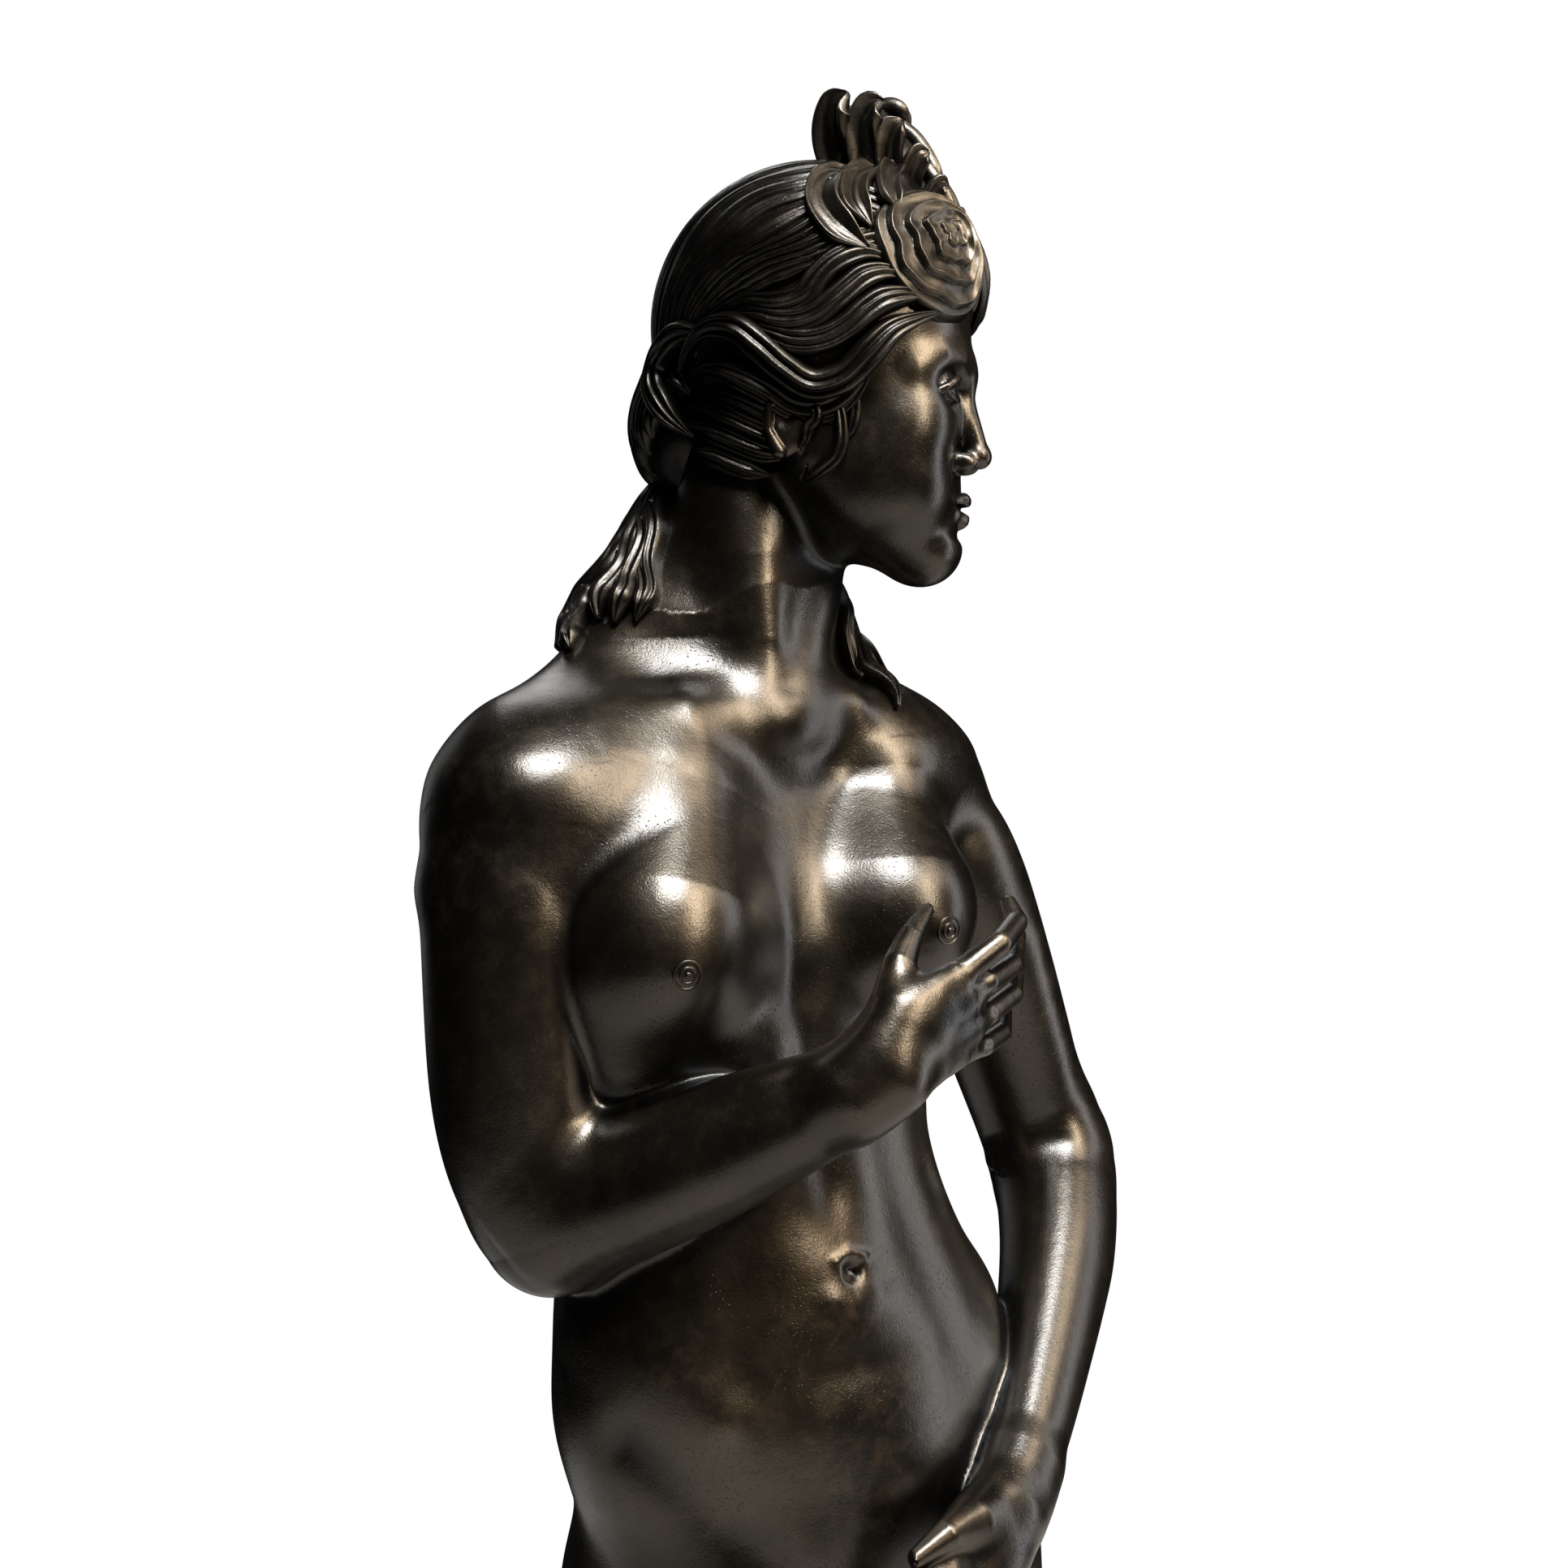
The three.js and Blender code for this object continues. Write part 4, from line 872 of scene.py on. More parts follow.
def lock(shape, path, width, height, strands=3, lift=0.0, taper=(0.3, 0.35), free_from=None,
         base=hair_base, wander=0.12, cup=0.0, curl=0.0):
    """One carved lock of hair along a path. It lies on the base, or, with free_from, stands free with
    its back to that point. taper is the share of its length that narrows at each end, cup hollows it
    between raised rims, curl waves it from side to side, and wander shifts its strands."""
    P, N, B, length = path_frame(path, lift, free_from, base)
    count = len(P)
    s = np.linspace(0, 1, count)
    P = P + (curl * np.sin(2 * math.pi * s * length / CURL_LENGTH) * smoothstep(s, 0, 0.3))[:, None] * B
    full = smoothstep(s, -0.02, taper[0]) * (1 - smoothstep(s, 1 - taper[1], 1.02))
    full = (0.1 + 0.9 * full ** 0.8)[:, None]
    a = np.linspace(-1, 1, 5 * strands + 1)[None]
    drift = wander * np.cumsum(dice.normal(0, 1, 6))
    drift = np.interp(s, np.linspace(0, 1, 6), drift - drift.mean())[:, None]
    ridge = groove(random_strands((a + 1) / 2 + 0.3 * drift * (1 - a**2), strands))
    crown = np.maximum(1 - a**2, 0) ** 0.4
    rim = np.abs(a) ** 2.2 * np.maximum(1 - np.abs(a) ** 14, 0) * 1.35
    section = (1 - cup) * crown * (0.55 + 0.45 * ridge) + cup * (rim + 0.12 * ridge * crown)
    P, N, B = P[:, None], N[:, None], B[:, None]
    upper = P + (a * full * width / 2)[..., None] * B + (height * full**0.6 * section)[..., None] * N
    flat = np.linspace(0.75, -0.75, 4)[None]
    under = P + (flat * full * width / 2)[..., None] * B - (0.7 * height * full)[..., None] * N
    shown = (1 - cup) * np.sqrt(crown) * ridge + cup * np.clip(0.35 + 0.65 * rim, 0, 1)
    rub = np.concatenate([shown, np.zeros((count, 4))], axis=1)
    shape.grid(np.concatenate([upper, under], axis=1), rub, wrap=True, ends=True)


def sheet(shape, guides, lift, depth, strands, columns):
    """Combed hair: a skin through guide curves, grooved along them, sunk into the head at its edges."""
    rows = 76
    curves = np.array([resample(guide, rows)[0] for guide in guides])
    skin = np.concatenate([smooth_table(curves[:, i], columns, 1.0) for i in range(rows)])
    skin, N = (table.reshape(rows, columns, 3) for table in laid(skin, lift))
    t = np.linspace(0, 1, columns)[None]
    s = np.linspace(0, 1, rows)[:, None]
    wave = 0.012 * np.sin(5 * s + 9 * t) + 0.007 * np.sin(13 * s + 21 * t)
    phase = random_strands(np.clip(t + wave, 0, 1), strands)
    big, small = groove(phase, 0.6), groove(phase * 3 + 0.15 * np.sin(17 * s), 0.8)
    fade = smoothstep(np.minimum(np.minimum(s, 1 - s) * rows, np.minimum(t, 1 - t) * columns), 0, 2)
    h = (depth * (big - 0.5) + 0.22 * depth * small) * fade - (1 - fade) * (lift + 0.8)
    shape.grid(skin + h[..., None] * N, big * 0.8 * fade)


def on_side(points, guess=-30.0):
    """Side-view points (forward, up) to points on the right of the head."""
    P = np.array([(f, guess, u) for f, u in points], float)
    for _ in range(30):
        P[:, 1] += np.maximum(hair_base(P), 0.02) * 0.9
    return P


# combed hair from under the bow over the crown to the bun, as (forward, up) lines seen from the side
CROWN_LINES = [
    [(21, 27), (14, 31), (7.5, 33), (-1, 32.3), (-10, 28.5), (-17, 22.5), (-22, 15), (-24.6, 6), (-25, -3)],
    [(21.5, 24), (15, 27.6), (9, 29.5), (2.5, 28.6), (-4, 26.5), (-11, 22), (-16.5, 16.5), (-20.5, 9.5),
     (-22.4, -1)],
    [(22, 20.5), (16, 24), (10, 25), (4.5, 23.3), (-4.5, 20.5), (-11, 17), (-15.5, 12.5), (-18.6, 6.5),
     (-20.5, -2)],
    [(22.5, 17.5), (17, 20.6), (11, 21), (6, 18.8), (0, 16.6), (-6.5, 14.2), (-11.5, 11), (-15.5, 6.5),
     (-18.2, -0.5)],
    [(23, 15), (17.5, 17.6), (12, 17.2), (6, 14.8), (-1, 12.8), (-6.5, 10.4), (-11, 7.5), (-14.6, 4),
     (-17, -2)],
    [(23.5, 12), (18.5, 14.4), (14, 13.6), (9.5, 11.4), (3, 9), (-3, 7.2), (-8, 5.6), (-12.5, 3), (-16, -3)],
]
# waved locks from the brow back over the ear: line, width, height, lift
WAVE_LOCKS = [
    ([(22, 10.5), (18.5, 13), (14.5, 13.2), (9.5, 10.5), (5.5, 6), (0.5, 5), (-5, 6), (-10, 4.5)],
     5.2, 2.2, 0.6),
    ([(24.5, 8), (20, 9.6), (15.5, 8.6), (11, 5), (6, 2), (0.5, 2.2), (-4.5, 4), (-9, 3)], 5.2, 2.6, 0.8),
    ([(27, 6), (22.5, 5.6), (17.5, 4.2), (13, 0.6), (8, -1.6), (2.5, -1.2), (-2.5, 1.2), (-7, 2)],
     5.6, 2.8, 1.0),
    ([(28, 3.2), (23, 1.2), (18, -1.6), (14.2, -6), (9.6, -8.6), (4.5, -8), (0.5, -4.4), (-3.5, -0.6),
      (-7, 2), (-11.5, 2.4), (-15.5, 0), (-18.5, -4)], 6.4, 3.8, 1.2),
    ([(17, -5), (13.6, -10), (9, -12.8), (3, -12.4), (-2, -9), (-8, -5.4), (-13, -4), (-17.5, -5)],
     5.6, 2.8, 0.8),
    ([(12.2, -12), (7, -15.2), (1.5, -15), (-4.5, -12), (-10, -9), (-15, -7.6)], 5.2, 2.6, 0.7),
    ([(7, -16.6), (2, -18.4), (-4, -16.4), (-9, -13.6), (-14, -11.4), (-18, -10.5)], 5.4, 2.6, 0.6),
    ([(1, -20.6), (-5, -19.2), (-10, -16.8), (-15, -14.8), (-19, -13.6)], 5.4, 2.4, 0.5),
    ([(-4, -24), (-9.5, -21.8), (-14, -19.6), (-18, -18)], 5.0, 2.0, 0.3),
    ([(24.6, 12.5), (20.5, 16), (16.5, 16.4), (12.5, 14.6), (7, 11.6)], 4.6, 1.9, 0.4),
]
# small curls before the ear
CURLS = [
    ([(9.4, -9), (10.2, -13.5), (9.8, -17.6), (8.6, -21), (6.4, -22.4), (5.4, -20.6)], 2.9, 1.8, 0.3),
    ([(12.6, -8), (13.2, -12.4), (12.8, -16), (11.6, -18.8), (9.8, -19.4)], 2.4, 1.5, 0.2),
    ([(5.6, -11), (6.6, -14), (6, -17), (4, -18.6)], 2.6, 1.7, 0.6),
]
# from the middle of the brow over the skull to the bun, as (forward, up)
PARTING = [(20, 30), (13, 33), (5.5, 34.6), (-6.5, 32.4), (-15, 27.5), (-21, 20.5), (-24.6, 13), (-26, 5),
           (-26.5, -4)]
# bands of the bun: distance from its middle, reach, and the angles where each starts and ends
BUN_BANDS = [(1.5, 1.0, -0.6, 2.9), (6.5, 1.0, -0.8, 2.5), (10.5, 0.9, -0.9, 2.2), (13.5, 0.72, -0.9, 2.0)]
BUN_SWEEP = [(-12, 1.5), (-17, 2.5), (-21.5, -0.5), (-23.5, -6), (-21.5, -12), (-17, -16)]
BUN_CORE = [(ellipsoid(BUN, (8.6, 12.6, 10.6)), 1.0),
            (chain([(-22, 0, -16), (-15, 0, -27)], [8, 8.5]), 6.0)]


def add_core(shape, forms, low, high):
    """The plain mass under a group of free locks."""
    verts, quads = surface(lambda P: add_forms(np.full(len(P), FAR), P, forms), low, high, 0.8)
    shape.faces += (quads + shape.total).tolist()
    shape.verts.append(verts)
    shape.rub.append(np.full(len(verts), 0.1))
    shape.total += len(verts)


def head_hair():
    hair = Shape()
    add_core(hair, BUN_CORE, (-34, -15, -38), (-4, 15, 1))
    crown = [on_side(line) for line in CROWN_LINES]
    middle = [np.array([(forward, 0, up) for forward, up in PARTING])]
    both_sides = [line * (1, -1, 1) for line in crown[::-1]] + middle + crown
    sheet(hair, both_sides, 0.9, 1.1, 26, 300)
    for flip in (1, -1):
        for path, width, height, lift in WAVE_LOCKS:
            lock(hair, on_side(path) * (1, flip, 1), width, height, 3, lift)
        for path, width, height, lift in CURLS:
            lock(hair, on_side(path) * (1, flip, 1), width, height, 2, lift, base=head_in_its_frame)
    # the bun: bands over its top and back, the outer ones opening towards the ear
    for flip in (1, -1):
        for across, reach, start, end in BUN_BANDS:
            a = np.linspace(start, end, 9)
            path = BUN + np.column_stack([-9 * reach * np.sin(a), -flip * (across + 0.8 * np.sin(2 * a)),
                                          11 * reach * np.cos(a)])
            lock(hair, path, 5.4, 2.7, 3, 0.3, taper=(0.2, 0.25), wander=0.2)
        lock(hair, on_side(BUN_SWEEP) * (1, flip, 1), 6.0, 3.8, 3, 1.0, taper=(0.25, 0.3))
    return hair


# the bow's mass under its carved locks
BOW_CORE = [(ellipsoid((15.5, 0, 36), (7, 6, 11)), 1.0),
            *[(f, 4.0) for f in sides(chain, [(19, 6, 27), (24, 8, 18), (28.5, 7, 10)], [5.5, 6, 4.5])],
            *[(f, 4.0) for f in sides(chain, [(16, 8, 26), (21, 11, 19)], [4, 4])],
            (chain([(21, 0, 34), (27, 0, 24), (30, 0, 12)], [4.5, 4.5, 3.5]), 4.0)]
# leaf-shaped locks of the bow's right half: path, width, height
TUFTS = [
    ([(13.5, -1.5, 29), (10.6, -3.4, 35.5), (9.8, -4.8, 40.5), (11, -6, 44.6), (13.4, -7, 46.6)], 8.6, 2.6),
    ([(16.6, -3, 30), (15.6, -5.4, 36), (16, -6.6, 40.4), (18, -7.4, 43.6), (20, -7.6, 44)], 7.0, 2.8),
    ([(20, -3, 30), (20, -5.6, 35), (21, -6.4, 38.6), (23, -6.6, 41)], 5.6, 2.6),
    ([(22.5, -3, 27), (24, -5.4, 31), (25.8, -5.8, 33.8), (27.6, -5.4, 34.6)], 5.0, 2.4),
    ([(25, -3, 23), (27.4, -5.4, 26), (29.2, -5.8, 28), (30.8, -5.2, 28)], 4.6, 2.2),
    ([(27.5, -2.4, 18), (30.2, -4.4, 21), (32, -4.8, 22.6), (33.2, -4.2, 22)], 3.8, 2.0),
    ([(29.5, -2, 12), (32, -3.8, 14.6), (33.8, -4.2, 15.8), (34.8, -3.8, 14.6)], 3.6, 1.8),
]
# its hollow crescents behind the ringed lobe, and the leaves along its middle
CRESCENTS = [
    ([(13.6, -7.5, 31.5), (10.2, -14.6, 29), (9.4, -19.8, 24), (12.4, -22.4, 18.4), (17.6, -22.6, 14)],
     6.6, 2.8),
    ([(17.6, -6.6, 32), (15, -13.6, 28.8), (15, -19, 23.6), (18.2, -21.4, 18.2)], 5.6, 2.8),
    ([(21, -6, 32.4), (20.2, -10.6, 29.4), (20.8, -15, 25.4), (22.6, -17.4, 21.6)], 4.6, 2.4),
]
MIDDLE_TUFTS = [
    ([(12.5, 0, 31), (9.6, 0, 37), (9.8, 0, 42), (12.4, 0, 46.4)], 7.0, 2.6),
    ([(16, 0, 41), (18.4, 0, 44.4), (21.4, 0, 44.4), (23.6, 0, 41)], 5.4, 2.4),
    ([(20, 1, 42), (24.2, 1.5, 38.4), (27.2, 1, 33), (29, 0, 27)], 6.4, 2.4),
    ([(26, -1.4, 33), (29.6, -1.6, 27), (31.6, -1, 20), (33.4, 0, 13.6)], 6.4, 2.4),
    ([(30, 0.8, 20), (32.6, 1.2, 14.5), (33.6, 0.6, 9.5), (33.6, 0, 5.6)], 5.6, 2.2),
]
# the ringed lobe over the brow: its eye, and its edge round the eye
LOBE_EYE = np.array([30.6, -10.8, 17.4])
LOBE_EDGE = [(18.4, -19.6, 21), (19.6, -22, 13), (23.6, -20.6, 5.8), (29.4, -14, 1.8), (34, -6.6, 4),
             (35.8, -3.4, 13), (32, -4, 23.5), (24.4, -9.8, 27)]
LOBE_OUT = np.array([0.66, -0.7, 0.2]) / np.linalg.norm([0.66, -0.7, 0.2])
LOBE_BANDS = 4.6


def ringed_lobe(shape, flip):
    """Nested scalloped bands, each rising to a sharp rim over the band outside it."""
    around, along = 120, 110
    # once round the edge: the table runs over the start again, and one turn is taken from its middle
    fine = smooth_table(LOBE_EDGE + LOBE_EDGE[:3], 400, 0)
    turn = 40 + np.linspace(0, 8, around, endpoint=False) / 10 * 399
    edge = np.stack([np.interp(turn, np.arange(400), fine[:, k]) for k in range(3)], axis=1)
    s = np.linspace(0.02, 1, along)[:, None]
    angle = np.linspace(0, 2 * math.pi, around, endpoint=False)[None]
    wobble = 0.13 * np.sin(4 * angle + 3 * s) + 0.05 * np.sin(9 * angle - 5 * s)
    t = np.mod(LOBE_BANDS * s + wobble, 1)
    rim = (0.1 + 0.9 * t**1.6) * (1 - smoothstep(t, 0.86, 1.0))
    tuck = smoothstep(s, 0.95, 1.0)
    rise = 3.6 * (1 - s**2.0) + 2.0 * rim * smoothstep(s, 0.0, 0.45) - 2.2 * tuck
    P = LOBE_EYE + s[..., None] * (edge - LOBE_EYE)[None] + rise[..., None] * LOBE_OUT
    shape.grid(P * (1, flip, 1), (0.2 + 0.8 * rim) * (1 - tuck), wrap=True)
    back = [LOBE_EYE + share * (edge - LOBE_EYE) - depth * LOBE_OUT
            for share, depth in ((1.0, 2.2), (0.8, 5.0))]
    shape.grid(np.array(back) * (1, flip, 1), 0.1, wrap=True)


def bow_hair():
    """The bow on the crown: ringed lobes over the brow, crescents behind them, and upright tufts."""
    bow = Shape()
    add_core(bow, BOW_CORE, (4, -20, 2), (38, 20, 52))
    for flip in (1, -1):
        side = np.array((1, flip, 1))
        ringed_lobe(bow, flip)
        for path, width, height in CRESCENTS:
            lock(bow, np.array(path) * side, width, height, 3, free_from=np.array((10, 0, 12)) * side,
                 taper=(0.1, 0.25), wander=0.2, cup=0.75)
        for path, width, height in TUFTS:
            lock(bow, np.array(path) * side, width, height, 3, free_from=np.array((17, 12, 30)) * side,
                 taper=(0.05, 0.16), wander=0.25, cup=0.6)
    for path, width, height in MIDDLE_TUFTS:
        lock(bow, path, width, height, 3, free_from=(16, 0, 26), taper=(0.05, 0.3), wander=0.25, cup=0.5)
    return bow


# locks that fall from the bun on to the shoulders, in the figure's frame: path, width, height, all
# laid FULLER than written
FULLER = 1.15
SHOULDER_LOCKS = [
    ([(-11, 13, 486), (-15, 12, 480), (-18.5, 10.5, 472), (-23, 11, 464), (-28, 13, 459), (-32, 14.5, 455),
      (-37.5, 12, 450.5)], 5.6, 3.4),
    ([(-12, 10, 486), (-15.5, 9.4, 479), (-18, 8, 471), (-21.5, 7, 464), (-26, 6, 458), (-30, 5, 452.5)],
     5.4, 3.2),
    ([(-14.5, 8, 481), (-17, 5.4, 474), (-19.4, 2.6, 466), (-22.5, 0.6, 459.5), (-26, -1.6, 452.8)],
     4.4, 2.6),
    ([(-14.5, 9, 479), (-18, 6, 470), (-21, 4, 463), (-25, 3.6, 457.5), (-28.6, 1.4, 452)], 4.8, 3.0),
    ([(-10, 15, 485), (-15, 15.5, 476), (-20, 16, 468), (-26, 17, 460), (-33, 17, 453)], 5.6, 3.2),
    ([(-26, 11, 459), (-30, 10, 455), (-34.5, 8, 451), (-37, 4, 448.5)], 4.4, 2.8),
    ([(-3, 12, 487), (1, 15, 478), (6, 15.5, 469), (11, 11.5, 461), (16, 3, 453), (19.4, -5, 446.5),
      (21.6, -10.4, 440.5), (21.4, -14.8, 434.6)], 5.2, 3.2),
    ([(-5, 14, 486), (-1, 17, 476), (5, 17.6, 466), (12, 14, 458), (18, 8, 453), (22.6, 1, 448.5),
      (24.6, -4, 444), (24, -8.4, 439.6)], 5.4, 3.2),
    ([(-1, 10.5, 486), (3.4, 12.6, 477), (8, 12.4, 469), (11.6, 7.6, 462.5), (14.4, 0.5, 455.5),
      (16.4, -5, 449), (18.6, -9.8, 442.6)], 4.4, 2.8),
    ([(-6, 16, 484), (-2, 19, 473), (5, 20, 462), (12, 17.6, 453), (18, 13, 448), (22, 8, 446)], 5.4, 3.0),
    ([(-12, 14, 485), (-13, 17, 476), (-17, 19, 466), (-22, 21, 457), (-28, 22, 449)], 5.2, 3.0),
]


def shoulder_hair():
    hair = Shape()
    for path, width, height in SHOULDER_LOCKS:
        lock(hair, path, FULLER * width, FULLER * height, 3, 0.3, taper=(0.1, 0.16), base=figure,
             wander=0.25, curl=0.7)
    return hair


# ---- urn, cloth, plinth and pad ------------------------------------------------------------
def box_mm(node):
    """A node's lowest and highest corners in the figure's millimetres."""
    low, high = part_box(node)
    return np.array(low) * 1000 - FIGURE_AT, np.array(high) * 1000 - FIGURE_AT


def around_axis(at, r, a, z):
    """Points at radii r, angles a and heights z about an upright axis."""
    return np.stack([at[0] + r * np.cos(a), at[1] + r * np.sin(a), z], axis=-1)


def urn_shape():
    low, high = box_mm("urn")
    at = np.array([(low[0] + high[0]) / 2, (low[1] + high[1]) / 2, low[2]])
    tall = high[2] - low[2]
    # radius and height: foot, stem, body, neck, lip, and down inside the mouth
    profile = [(2, 0), (13.4, 0), (14.3, 1.2), (14.3, 3.6), (13, 4.6), (11.4, 5.6), (8.6, 8.4), (6.8, 12),
               (6.6, 15), (8.4, 17), (8.4, 18.4), (7.4, 19.6), (9.5, 27), (12.6, 42), (14.6, 62), (15.9, 84),
               (15.9, 102), (15, 120), (13, 136), (10.2, 148), (9, 156), (9.3, 163), (11.2, 170),
               (13, 174.4), (13, tall - 1), (11.6, tall), (9.8, tall - 2), (8, 165), (7, 157), (8, 147),
               (2, 146)]

    def lobes(a, z):
        """Eighteen upright lobes round the lower body."""
        body = smoothstep(z, 22, 32) * (1 - smoothstep(z, 66, 82))
        return 0.7 * body * (groove(a * 9 / math.pi, 0.7) - 0.6)

    line = smooth_table(profile, 300, 0.0)
    a = np.linspace(0, 2 * math.pi, 288, endpoint=False)[None]
    height = line[:, 1][:, None] + 0 * a
    r = line[:, 0][:, None] + lobes(a, height)
    shape = Shape()
    shape.grid(around_axis(at, r, a, at[2] + height), 0.5, wrap=True, ends=True)
    return shape


def cloth_shape():
    """A cloth thrown over the urn: a folded crown over the mouth and flutes that deepen to an uneven hem."""
    low, high = box_mm("urn_cloth")
    at = (low + high) / 2
    rows, sides = ((170, 420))
    t = np.linspace(0, 1, rows)[:, None]
    a = np.linspace(0, 2 * math.pi, sides, endpoint=False)[None]
    waves = [(3, 0.7, 0.3), (5, 1.0, 1.1), (9, 1.5, 2.4), (14, 0.8, 0.2), (23, 0.35, 4.1)]
    fold = sum(w * np.cos(k * a + shift + (1.2 + 0.3 * k) * t + 0.5 * np.sin(2 * a + 3 * t))
               for k, w, shift in waves)
    fold = np.sign(fold) * np.abs(fold) ** 0.85
    over = smoothstep(t, 0.0, 0.24)
    fall = smoothstep(t, 0.16, 1.0)
    r = 14.6 * over ** 0.62 + 1.6 * fall + 0.25 + fold * (0.35 + 0.52 * fall) * smoothstep(t, 0.02, 0.4)
    hem = 1 + 0.05 * np.cos(3 * a + 0.7) + 0.035 * np.cos(7 * a + 2) - 0.05
    drop = (high[2] - low[2]) * (0.06 * t**2 * (t < 0.2) + np.clip((t - 0.12) / 0.88, 0, 1) * hem)
    swag = 1.1 * np.sin(6 * drop / 14 + 2 * np.cos(a)) * np.exp(-((drop - 16) / 16) ** 2)
    drop = drop + 0 * a
    outer = around_axis(at, r + swag, a, high[2] - 0.8 - drop)
    inner = around_axis(at, r + swag - 1.5, a, high[2] - 2.0 - drop)
    keep = t[:, 0] > 0.2
    ridge = np.clip(0.5 + 0.3 * fold / 2, 0.05, 1)
    rub = np.concatenate([ridge, np.full((keep.sum(), sides), 0.1)])
    shape = Shape()
    shape.grid(np.concatenate([outer, inner[keep][::-1]]), rub, wrap=True, ends=True)
    return shape


def rounded_ring(half_x, half_y, corner, count):
    """Evenly spaced points round a rectangle with round corners, centred on the origin."""
    arcs = []
    for q, (sx, sy) in enumerate([(1, 1), (-1, 1), (-1, -1), (1, -1)]):
        a = (q + np.linspace(0, 1, 24)) * math.pi / 2
        arcs.append(np.column_stack([sx * (half_x - corner) + corner * np.cos(a),
                                     sy * (half_y - corner) + corner * np.sin(a)]))
    loop = np.vstack(arcs + [arcs[0][:1]])
    run = np.concatenate([[0], np.cumsum(np.linalg.norm(np.diff(loop, axis=0), axis=1))])
    at = np.linspace(0, run[-1], count, endpoint=False)
    return np.column_stack([np.interp(at, run, loop[:, 0]), np.interp(at, run, loop[:, 1])])


def plinth_shape():
    """A moulded plinth: plain base, ovolo, hollow and fillet, with a rough modelled ground on top."""
    low, high = box_mm("plinth")
    mid, half = (low + high) / 2, (high - low) / 2
    tall = high[2] - low[2]
    corner = 9
    count = 520
    # set-back from the widest line and share of the height
    edge = [(14, 0.0), (0.9, 0.0), (0.2, 0.015), (0.0, 0.05), (0.0, 0.2), (0.3, 0.235), (1.5, 0.25),
            (1.8, 0.27), (2.1, 0.32), (3.3, 0.38), (5.4, 0.44), (7.6, 0.5), (8.6, 0.56), (8.8, 0.62),
            (8.2, 0.66), (7.2, 0.675), (7.0, 0.69), (5.9, 0.72), (5.2, 0.77), (5.1, 0.82), (5.5, 0.87),
            (6.3, 0.91), (6.8, 0.94), (7.3, 0.97), (8.2, 0.99), (9.4, 1.0)]
    rows = np.array([(back, low[2] + share * tall) for back, share in edge])
    run = np.arange(len(rows))
    fine = np.linspace(0, len(rows) - 1, 150)
    backs, heights = np.interp(fine, run, rows[:, 0]), np.interp(fine, run, rows[:, 1])
    rings = []
    for back, z in zip(backs, heights):
        xy = rounded_ring(half[0] - back, half[1] - back, corner, count)
        rings.append(np.column_stack([xy, np.full(count, z)]))
    inner = 90
    for share in np.linspace(0, 1, inner + 1)[1:-1]:
        xy = rounded_ring(half[0] - edge[-1][0], half[1] - edge[-1][0], corner, count) * (1 - share)
        rings.append(np.column_stack([xy, np.full(count, high[2])]))
    P = np.array(rings)
    top = len(backs)
    x, y = P[top - 1:, :, 0], P[top - 1:, :, 1]
    rough = sum(h * np.sin(x / w + shift) * np.cos(y / (w * 1.13) + 2 * shift + np.sin(x / (2.3 * w)))
                for h, w, shift in [(0.5, 13, 0.4), (0.32, 6.1, 1.7), (0.2, 2.9, 3.1), (0.1, 1.5, 5.2)])
    margin = smoothstep(np.linspace(0, 1, inner)[:, None], 0, 0.12)
    P[top - 1:, :, 2] += np.clip(rough - 0.75, -2, -0.02) * margin
    P[:, :, :2] += mid[:2]
    shape = Shape()
    shape.grid(P, 0.6, wrap=True, ends=True)
    return shape


def pad_shape():
    """A ring of felt under the plinth, its cut edges a little uneven."""
    low, high = box_mm("base_pad")
    mid, half = (low + high) / 2, (high - low) / 2
    count = 360
    # set-back from the outer edge and share of the height
    section = [(0.25, 0.0), (0.0, 0.3), (0.1, 0.75), (0.4, 1.0), (6, 1.0), (11.6, 1.0), (11.9, 0.7),
               (12, 0.3), (11.7, 0.0), (6, 0.0)]
    a = np.arange(count)
    rings = []
    for back, share in section:
        fray = 0.16 * np.sin(a * 0.9) * np.sin(a * 0.37 + 1) - 0.16
        xy = rounded_ring(half[0] - back, half[1] - back, 8, count)
        xy *= 1 + fray[:, None] / half[0]
        rings.append(np.column_stack([xy + mid[:2], np.full(count, low[2] + share * (high[2] - low[2]))]))
    shape = Shape()
    shape.grid(np.array(rings), 0.5, wrap=True, loop=True)
    return shape


def punched_rings():
    """Two raised rings and a dot struck on each breast."""
    shape = Shape()
    a = np.linspace(0, 2 * math.pi, 48, endpoint=False)
    b = np.linspace(0, 2 * math.pi, 10, endpoint=False)
    for centre in (RIGHT_NIPPLE, LEFT_NIPPLE):
        _, normal = laid(centre[None], 0.0, figure)
        side = np.cross(normal[0], (0, 0, 1.0))
        side /= np.linalg.norm(side)
        up = np.cross(side, normal[0])
        for radius, thick in ((2.25, 0.3), (1.15, 0.32), (0.25, 0.4)):
            spokes = np.cos(a)[:, None] * side + np.sin(a)[:, None] * up
            line, out = laid(centre + radius * spokes, 0.0, figure)
            ring = line[:, None] + thick * (np.cos(b)[None, :, None] * spokes[:, None]
                                            + np.sin(b)[None, :, None] * out[:, None])
            shape.grid(ring, 0.8, wrap=True, loop=True)
    return shape


